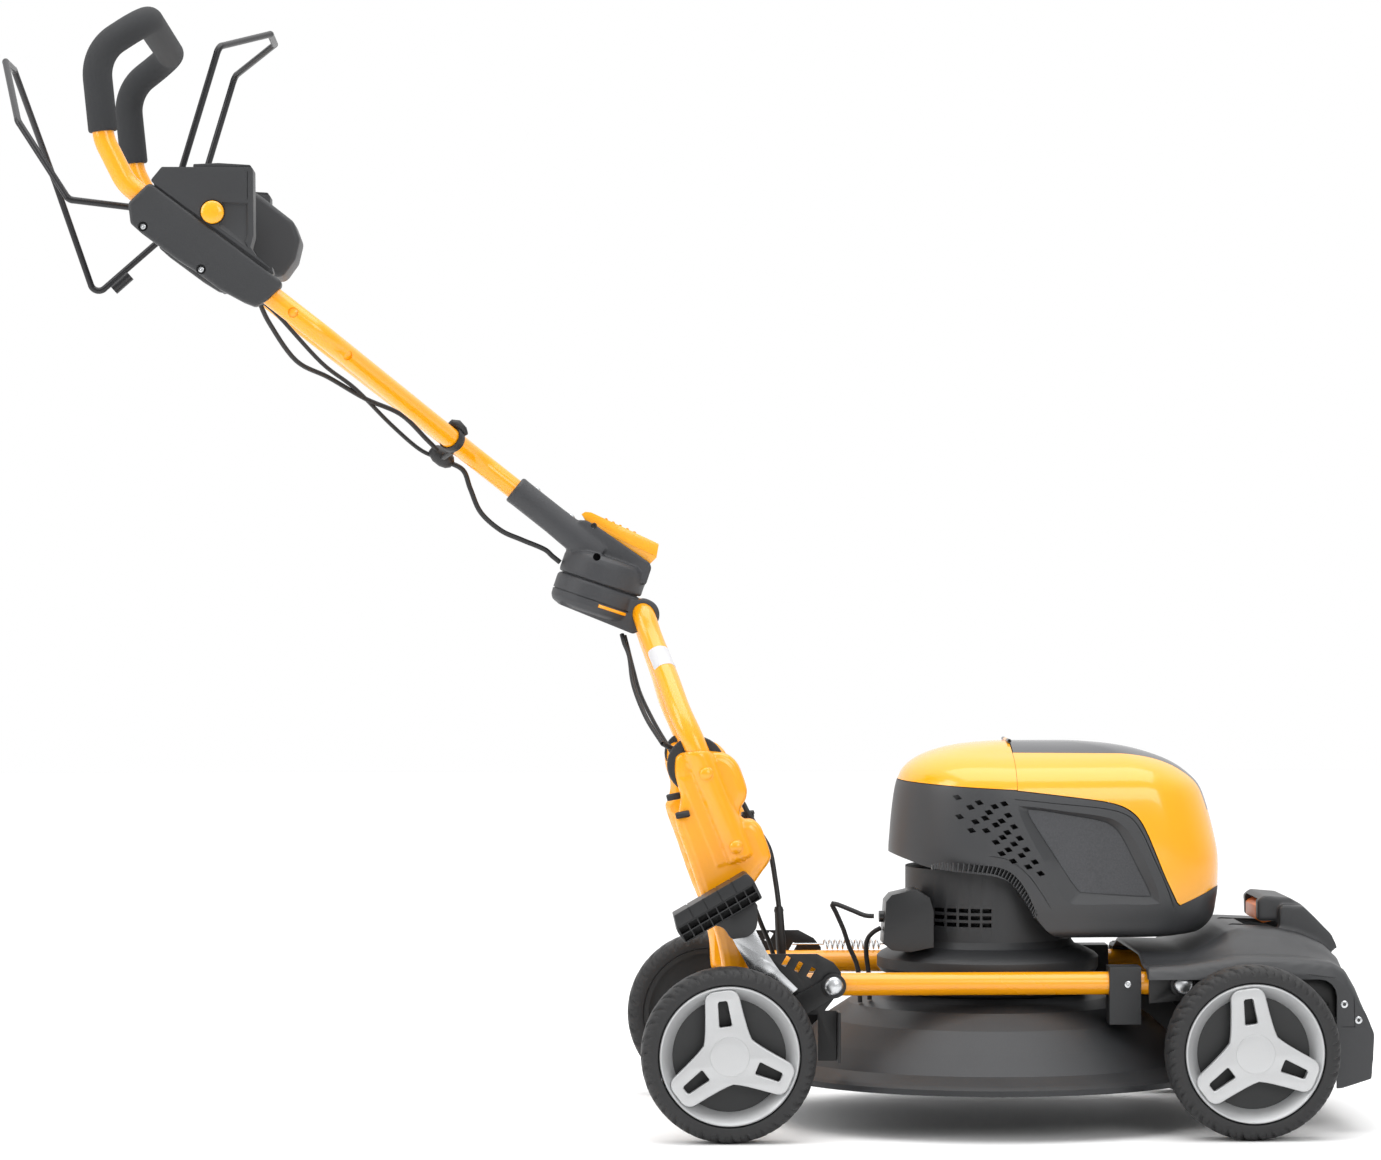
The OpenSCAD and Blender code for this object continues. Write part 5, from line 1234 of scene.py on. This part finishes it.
wells = [placed(well, Matrix.Translation((0.262, y, 0)), 30) for y in (-0.040, 0.040)]
SEAM_LINE = [(317, 164.5), (350, 160.2), (358, 155), (364, 146), (365, 111), (352, 111), (352, 110),
             (366, 110), (365, 146.4), (358.7, 155.8), (350.4, 161.2), (317, 165.5)]
seams = [slab(SEAM_LINE, side * 0.1646, side * 0.17) for side in (-1, 1)]
stand_in("front_cover_moulded", cut(cover, *wells, *seams), cover_plastic, 45, "front_cover")
cover_screws = [across(cross_screw(0.0044, 0.0024), x, z, 0.1640, side)
                for x, z in ((0.3545, 0.134), (0.3695, 0.1175)) for side in (-1, 1)]
fitting("front_cover_screws", joined(*cover_screws), zinc, "front_cover")
clamp_screws = [across(cross_screw(0.0040, 0.0022), 0.1309, PIVOT_Z, 0.1478, side) for side in (-1, 1)]
fitting("clamp_screws", joined(*clamp_screws), zinc, "tube_clamps")

# ---- cables ----
# Jacketed leads and Bowden cables run down the handle, held by a rubber strap on the forked tube and
# by ties. Each lies on the same points as its route in the part's source, in millimetres.
UPPER_ROUTES = [
    (5, [(-768, -190, 862), (-757, -176, 838), (-731, -150, 801), (-699, -110, 785), (-662, -70, 764),
         (-625, -40, 748), (-598, -22, 722), (-584, -14, 708)]),
    (4.4, [(-766, -184, 862), (-748, -168, 846), (-706, -128, 800), (-672, -84, 774), (-636, -36, 738),
           (-606, -10, 712), (-584, -4, 702)]),
    (5.4, [(-580, -9, 700), (-560, -9, 690), (-552, -9, 670), (-541, -9, 645), (-520, -8, 626),
           (-498, -6, 616), (-474, -4, 606), (-465, -3, 598.5), (-456.7, -2, 591.8)])]
LOWER_ROUTES = [
    (5, [(-391.4, -18.4, 515.4), (-389, -25, 506), (-384, -35, 492), (-380, -52, 462), (-368, -84, 430),
         (-352, -112, 404)]),
    (4.4, [(-387.6, 11.6, 513.4), (-385, 7, 503), (-379, -6, 478), (-372, -30, 452), (-358, -70, 422),
           (-344, -104, 398)]),
    (5.5, [(-352, -112, 404), (-316, -106, 384), (-276, -110, 352), (-262, -113, 330), (-251, -113, 312),
           (-240, -113, 292), (-234, -110, 261), (-230, -107, 232), (-228, -105, 206)]),
    (5, [(-344, -104, 398), (-306, -104, 330), (-268, -106, 268), (-258, -104, 240), (-248, -96, 214),
         (-236, -80, 186), (-224, -70, 140), (-216, -64, 96), (-212, -62, 78.2)])]


def swollen(points, radii, sides):
    """A moulded rubber piece along points in millimetres, with its own radius at each."""
    return tube_along(np.array(points) / 1000, np.array(radii) / 1000, sides)


def laid(routes):
    """The jackets along their routes."""
    return [tube_along(np.array(through(points, 7)) / 1000, width / 2000, 16) for width, points in routes]


# a strap with its button round each branch of the fork, a band between them, and a pad over the cables
STRAP_X, STRAP_Y, STRAP_Z = -571, 48.8, 721.5
strap_ring = spun([(0.0110, -0.0045), (0.0128, -0.0052), (0.0136, -0.0035), (0.0136, 0.0035),
                   (0.0128, 0.0052), (0.0110, 0.0045)], 40)
straps = []
for side in (-1, 1):
    seat = looking((STRAP_X / 1000, side * STRAP_Y / 1000, STRAP_Z / 1000), (-0.534, side * 0.734, 0.420))
    straps.append(placed(strap_ring, seat, 30))
    x, y, z = STRAP_X + 6, side * STRAP_Y, STRAP_Z + 13.5
    straps.append(swollen([(x - 9, y, z + 1.5), (x - 6, y, z + 3), (x, y, z + 2.2),
                           (x + 6, y - side, z - 3.5), (x + 8.5, y - side, z - 7.5)],
                          [2.8, 4.8, 5.2, 4.2, 2.6], 18))
band = through([(-571, -47, 709), (-578, -30, 704), (-582, -9, 702), (-578, 30, 704), (-571, 47, 709)], 4)
straps.append(swollen(band, [2.6] * len(band), 12))
straps.append(swollen([(-593.5, -9, 713), (-590.5, -9, 710.5), (-586, -9, 707), (-579, -9, 701.5),
                       (-574, -9, 697.5), (-571, -9, 695)], [4, 7.5, 9.8, 9.8, 7.5, 3.5], 24))
stand_in("upper_cables_laid", joined(*laid(UPPER_ROUTES), *straps), jacket, 50, "upper_cables")

# the drive cable ends in a grooved rubber sleeve, and a tie with a loose tail holds it to the lead
end_sleeve = swollen([(-230.5, -107.2, 233), (-230.2, -107, 229), (-230, -106.8, 227), (-227.6, -105.3, 189),
                      (-227.5, -105.1, 187), (-227.2, -105, 179)], [4, 5.2, 4.7, 5.4, 5, 4.5], 24)
tie = swollen([(-268.5, -109, 328), (-262.5, -108, 329.5), (-256.5, -109, 330)], [4.2] * 3, 14)
tail = swollen([(-270, -109, 327.2), (-265, -109, 328.5), (-256, -109, 332)], [1.6] * 3, 10)
stand_in("lower_cables_laid", joined(*laid(LOWER_ROUTES), end_sleeve, tie, tail), jacket, 50, "lower_cables")

# ---- return spring ----
# A coiled spring of plated steel wire, hooked between the frame and the rear carrier. It pulls the
# carrier up as the pedal lets it go.
dress(zinc, "return_spring")
